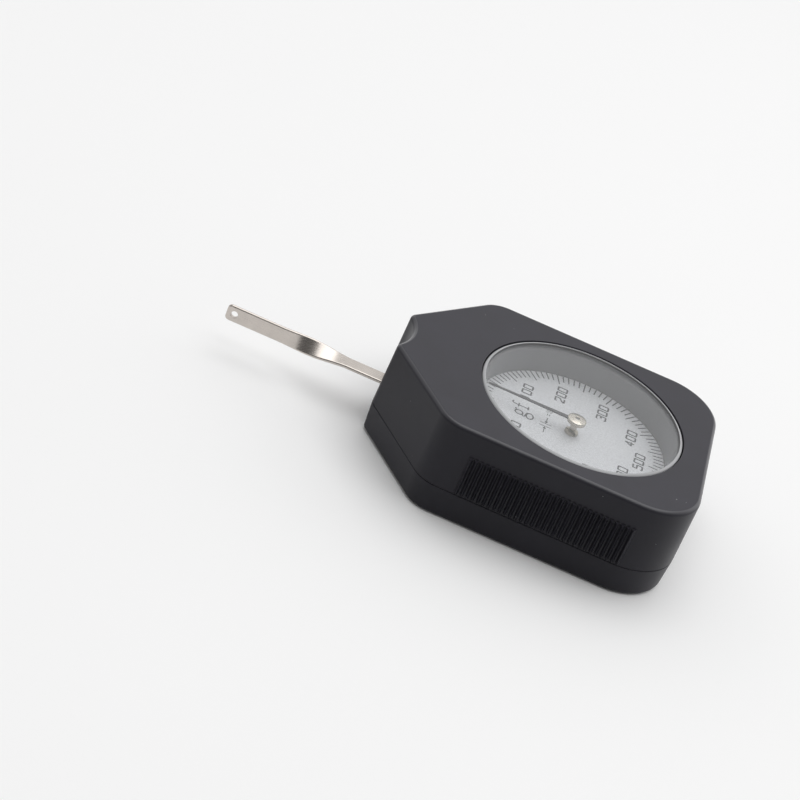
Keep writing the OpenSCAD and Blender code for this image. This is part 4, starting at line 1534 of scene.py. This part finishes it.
class GAUGE_OT_lever(GaugeOperator, bpy.types.Operator):
    """Models the feeler lever, a flat strip with a quarter turn, a hole in its tip and an eye on the pivot"""

    bl_idname = "gauge.lever"
    bl_label = "Feeler Lever"

    def execute(self, context):
        sizes = context.scene.gauge_lever
        half_wide = sizes.wide / 2
        half_thick = sizes.thick / 2
        middle = PIVOT.z
        low = middle - half_thick
        top = middle + half_thick
        tip = LEVER_TIP
        start = PIVOT.x - sizes.turn_start
        end = start - sizes.turn_long
        root = PIVOT.x - sizes.bore - OVERSHOOT / 2
        piece = block("feeler_strip", (start, -half_wide, low), (root, half_wide, top))
        open_mesh(piece)
        pick("FACE", faces_nose)
        extrude((end - start, 0, 0))
        extrude((tip - end, 0, 0))

        def tip_corner(edge):
            at_tip = all(abs(vertex.co.x - tip) < TINY for vertex in edge.verts)
            return at_tip and abs(edge.verts[0].co.z - edge.verts[1].co.z) > half_thick

        def drill(radius, place, sides):
            cut(piece, rod("drill", radius, low - OVERSHOOT, top + OVERSHOOT, place, sides))

        round_edges(tip_corner, sizes.tip_corner, segments=8)
        close_mesh()
        hole_x = tip + sizes.hole_in
        drill(sizes.hole, (hole_x, 0), sides=40)
        open_mesh(piece)

        def rim(edge):
            flat_rim = level(low)(edge) or level(top)(edge)
            inside = any(vertex.co.x < root - TINY for vertex in edge.verts)
            corner = len(edge.link_faces) == 2 and edge.calc_face_angle(0.0) > CORNER_ABOVE
            return flat_rim and inside and corner

        def round_hole(edge):
            return all(abs(vertex.co.x - hole_x) < sizes.hole + TINY for vertex in edge.verts)

        round_edges(lambda edge: rim(edge) and not round_hole(edge), sizes.edge, segments=4)
        round_edges(rim, sizes.hole_edge, segments=3)

        def lengthwise(edge):
            first, second = sorted(vertex.co.x for vertex in edge.verts)
            return abs(first - end) < TINY and abs(second - start) < TINY

        pick("EDGE", lengthwise)
        bpy.ops.mesh.subdivide(number_cuts=sizes.turn_steps - 1)
        for step in range(1, sizes.turn_steps):
            part = step / sizes.turn_steps
            place = start + (end - start) * part
            turn = QUARTER * ease(part)
            pick("VERT", lambda vertex: abs(vertex.co.x - place) < sizes.turn_long / sizes.turn_steps / 4)
            bpy.ops.transform.rotate(value=-turn, orient_axis="X", center_override=(place, 0, middle))
        pick("VERT", lambda vertex: vertex.co.x < end + TINY)
        bpy.ops.transform.rotate(value=-QUARTER, orient_axis="X", center_override=(end, 0, middle))
        heal()
        close_mesh()
        weld(piece, rod("eye", sizes.eye, low, top, PIVOT.xy))
        drill(sizes.bore, PIVOT.xy, sides=48)
        for side in (-1, 1):
            drill(sizes.screw_bore, (PIVOT.x, PIVOT.y + side * sizes.screw_off), sides=24)
        finish_piece(piece, "lever", "nickel", "Lever nickel", "lever")
        return {"FINISHED"}


# Rings of the hub's dome, as shares of its radius
HUB_RINGS = (0.8, 0.6, 0.4)


class GAUGE_OT_pointer(GaugeOperator, bpy.types.Operator):
    """Models the needle, its domed hub and the notched collar at the hub's foot"""

    bl_idname = "gauge.pointer"
    bl_label = "Needle and Hub"

    def needle(self, sizes):
        """A blade that tapers to its tip, its upper edges rounded."""
        piece = block("needle_blade", NEEDLE_LOW, NEEDLE_HIGH)
        open_mesh(piece)
        head = HUB_LOW.x
        pick("FACE", faces_nose)
        bpy.ops.transform.translate(value=(head - NEEDLE_LOW.x, 0, 0))
        extrude((NEEDLE_LOW.x - head, 0, 0))
        narrow = sizes.tip_wide / (NEEDLE_HIGH.y - NEEDLE_LOW.y)
        bpy.ops.transform.resize(value=(1, narrow, 1), center_override=(NEEDLE_LOW.x, 0, NEEDLE_LOW.z))

        def upper_edge(edge):
            outer = any(vertex.co.x < head - TINY for vertex in edge.verts)
            across = all(abs(vertex.co.x - head) < TINY for vertex in edge.verts)
            return level(NEEDLE_HIGH.z)(edge) and outer and not across

        round_edges(upper_edge, sizes.crown, segments=3)
        heal()
        close_mesh()
        finish_piece(piece, "pointer", "needle", "Needle paint", "needle")

    def hub(self, sizes):
        """A stem with a domed head, bored for the arbor and slit for the needle."""
        low = HUB_LOW.z
        top = HUB_HIGH.z
        radius = HUB_HIGH.x
        under = low + sizes.head_low
        side_top = under + sizes.side
        dome = top - side_top
        profile = [
            (sizes.bore, low),
            (sizes.stem, low),
            (sizes.stem, under),
            (radius, under),
            (radius, side_top),
        ]
        for part in (*HUB_RINGS, sizes.bore / radius):
            profile.append((radius * part, side_top + dome * (1 - part * part)))
        profile.append((sizes.bore, low))
        piece = lathe("hub_head", profile, steps=72)
        break_edges(piece, sizes.break_edge, segments=3)
        cut(
            piece,
            block(
                "slit",
                (HUB_LOW.x - OVERSHOOT, NEEDLE_LOW.y - sizes.fit, NEEDLE_LOW.z - sizes.fit),
                (NEEDLE_HIGH.x + sizes.fit, NEEDLE_HIGH.y + sizes.fit, NEEDLE_HIGH.z + sizes.fit),
            ),
        )
        finish_piece(piece, "pointer", "hub", "Hub plating", "pointer_hub")

    def collar(self, sizes):
        """The upper end of the arbor's bush, notched for a key."""
        low = COLLAR_LOW.z
        top = COLLAR_HIGH.z
        radius = COLLAR_HIGH.x
        bore = sizes.collar_bore
        profile = ((bore, low), (radius, low), (radius, top), (bore, top), (bore, low))
        piece = lathe("notched_collar", profile, steps=64)
        break_edges(piece, sizes.break_edge)
        step = FULL_TURN / sizes.notches
        half = sizes.notch_wide / 2
        for index in range(sizes.notches):
            notch = block(
                "notch",
                (sizes.notch_in, -half, DIAL_TOP + sizes.notch_rise),
                (2 * radius, half, top + OVERSHOOT),
            )
            turn_round(notch, step * (index + 0.5))
            cut(piece, notch)
        finish_piece(piece, "case", "brass", "Collar plating", "arbor_upper_bush")

    def execute(self, context):
        sizes = context.scene.gauge_pointer
        self.needle(sizes)
        self.hub(sizes)
        self.collar(sizes)
        return {"FINISHED"}


class GAUGE_OT_movement(GaugeOperator, bpy.types.Operator):
    """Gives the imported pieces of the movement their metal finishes"""

    bl_idname = "gauge.movement"
    bl_label = "Movement Finishes"

    def execute(self, context):
        finishes = {"brass": "Movement brass", "steel": "Turned steel", "spring": "Spring steel"}
        for subpart in frame["record"]["subparts"]:
            slot = subpart["material_slot"]
            if slot in finishes:
                materials = frame["nodes"][subpart["node"]].data.materials
                materials.clear()
                materials.append(finish_named(finishes[slot]))
        return {"FINISHED"}


WHITE = (1.0, 1.0, 1.0, 1.0)

# Y of a direction at which the surroundings start to brighten, on the camera's side, and at which they end
ROOM_DEPTH = (-0.8, 0.8)


def ray_kinds(tree):
    """What Light Path tells, and a mask for the rays by which metal and glass see."""
    rays = add_node(tree, "ShaderNodeLightPath").outputs
    return rays, calculate(tree, "MAXIMUM", rays["Is Glossy Ray"], rays["Is Transmission Ray"])


class GAUGE_OT_stage(GaugeOperator, bpy.types.Operator):
    """Sets up the floor, the lamps, the surroundings and the camera"""

    bl_idname = "gauge.stage"
    bl_label = "Stage"

    def floor(self, context):
        """A wide round floor under the back face."""
        stage = context.scene.gauge_stage
        middle = (0, 0, CAD_BOX[0][2])
        select_only()
        bpy.ops.mesh.primitive_circle_add(vertices=96, radius=3.0, fill_type="NGON", location=middle)
        floor = name_new("studio_floor")
        values = {"Emission Color": WHITE, "Roughness": 0.9, "Specular IOR Level": 0.2}
        material, tree, shader, coords = new_finish("Studio floor", values)
        grain = effect(tree, "Fine Grain", coords, size=0.01, drift_size=0.2)
        colour = context.scene.gauge_colours.floor
        rays, mirrored = ray_kinds(tree)
        seen = calculate(tree, "MAXIMUM", mirrored, rays["Is Camera Ray"])
        base = mottle(tree, shader, colour, grain["Drift"], darker=0.99, lighter=1.01)
        paint(tree, shader, base, (stage.floor_bounce,) * 3, calculate(tree, "SUBTRACT", 1.0, seen))
        glow = calculate(tree, "MULTIPLY", seen, stage.floor_glow)
        tree.links.new(glow, shader.inputs["Emission Strength"])
        floor.data.materials.append(material)

    def softbox(self, name, place, size, energy, aim):
        """A rectangular lamp that looks at a place."""
        place = Vector(place)
        bpy.ops.object.light_add(type="AREA", location=place)
        lamp = bpy.context.object
        lamp.name = name
        lamp.data.shape = "RECTANGLE"
        lamp.data.size, lamp.data.size_y = size
        lamp.data.energy = energy
        lamp.rotation_euler = (Vector(aim) - place).to_track_quat("-Z", "Y").to_euler()

    def surroundings(self, context):
        """White light from all round, brighter behind the gauge, and plain white to the camera."""
        stage = context.scene.gauge_stage
        world = bpy.data.worlds.new("Studio")
        context.scene.world = world
        world.use_nodes = True
        tree = world.node_tree
        background = tree.nodes["Background"]
        background.inputs["Color"].default_value = WHITE
        rays, mirrored = ray_kinds(tree)
        heading = add_node(tree, "ShaderNodeTexCoord").outputs["Generated"]
        room = remap(tree, parts_of(tree, heading)["Y"], ROOM_DEPTH, stage.world_front, stage.world_rear)
        seen = calculate(tree, "MULTIPLY", room, remap(tree, mirrored, (0.0, 1.0), stage.world_light))
        strength = calculate(tree, "MAXIMUM", seen, rays["Is Camera Ray"])
        tree.links.new(strength, background.inputs["Strength"])

    def camera(self, context):
        """A camera at the photograph's viewing angle."""
        stage = context.scene.gauge_stage
        bpy.ops.object.camera_add()
        camera = bpy.context.object
        camera.name = "studio_camera"
        look = Matrix.Rotation(-stage.azimuth, 4, "Z") @ Matrix.Rotation(QUARTER - stage.elevation, 4, "X")
        lean = Matrix.Rotation(stage.roll, 4, "Z")
        camera.matrix_world = Matrix.Translation(stage.eye) @ look @ lean
        camera.data.sensor_width = 36.0
        camera.data.lens = stage.lens
        camera.data.clip_start = 0.01
        camera.data.clip_end = 20.0
        context.scene.camera = camera

    def execute(self, context):
        stage = context.scene.gauge_stage
        context.scene.view_settings.view_transform = "Standard"
        self.floor(context)
        self.softbox("top_softbox", stage.top_place, stage.top_size, stage.top_light, stage.aim)
        self.softbox("rear_softbox", stage.rear_place, stage.rear_size, stage.rear_light, stage.aim)
        self.surroundings(context)
        self.camera(context)
        return {"FINISHED"}


STEPS = (
    GAUGE_OT_front_case,
    GAUGE_OT_back_cover,
    GAUGE_OT_case_screws,
    GAUGE_OT_crystal,
    GAUGE_OT_spacer_ring,
    GAUGE_OT_dial,
    GAUGE_OT_lever,
    GAUGE_OT_pointer,
    GAUGE_OT_movement,
    GAUGE_OT_stage,
)


class GAUGE_PT_sidebar(bpy.types.Panel):
    """Steps, sizes and colours of the gauge"""

    bl_idname = "GAUGE_PT_sidebar"
    bl_label = "Dial Tension Gauge"
    bl_space_type = "VIEW_3D"
    bl_region_type = "UI"
    bl_category = "Gauge"

    def draw(self, context):
        for step in STEPS:
            self.layout.operator(step.bl_idname)
        for name, group in GROUPS:
            box = self.layout.box()
            box.label(text=group.__name__)
            for field in group.__annotations__:
                box.prop(getattr(context.scene, name), field)


def register():
    """Registers the property groups, the operators and the panel."""
    for name, group in GROUPS:
        bpy.utils.register_class(group)
        setattr(bpy.types.Scene, name, bpy.props.PointerProperty(type=group))
    for step in STEPS:
        bpy.utils.register_class(step)
    bpy.utils.register_class(GAUGE_PT_sidebar)


def unregister():
    """Takes back what register did."""
    bpy.utils.unregister_class(GAUGE_PT_sidebar)
    for step in reversed(STEPS):
        bpy.utils.unregister_class(step)
    for name, group in reversed(GROUPS):
        delattr(bpy.types.Scene, name)
        bpy.utils.unregister_class(group)


def main():
    """Builds the whole gauge."""
    register()
    bpy.ops.gauge.front_case()
    bpy.ops.gauge.back_cover()
    bpy.ops.gauge.case_screws()
    bpy.ops.gauge.crystal()
    bpy.ops.gauge.spacer_ring()
    bpy.ops.gauge.dial()
    bpy.ops.gauge.lever()
    bpy.ops.gauge.pointer()
    bpy.ops.gauge.movement()
    bpy.ops.gauge.stage()


if __name__ == "__main__":
    main()
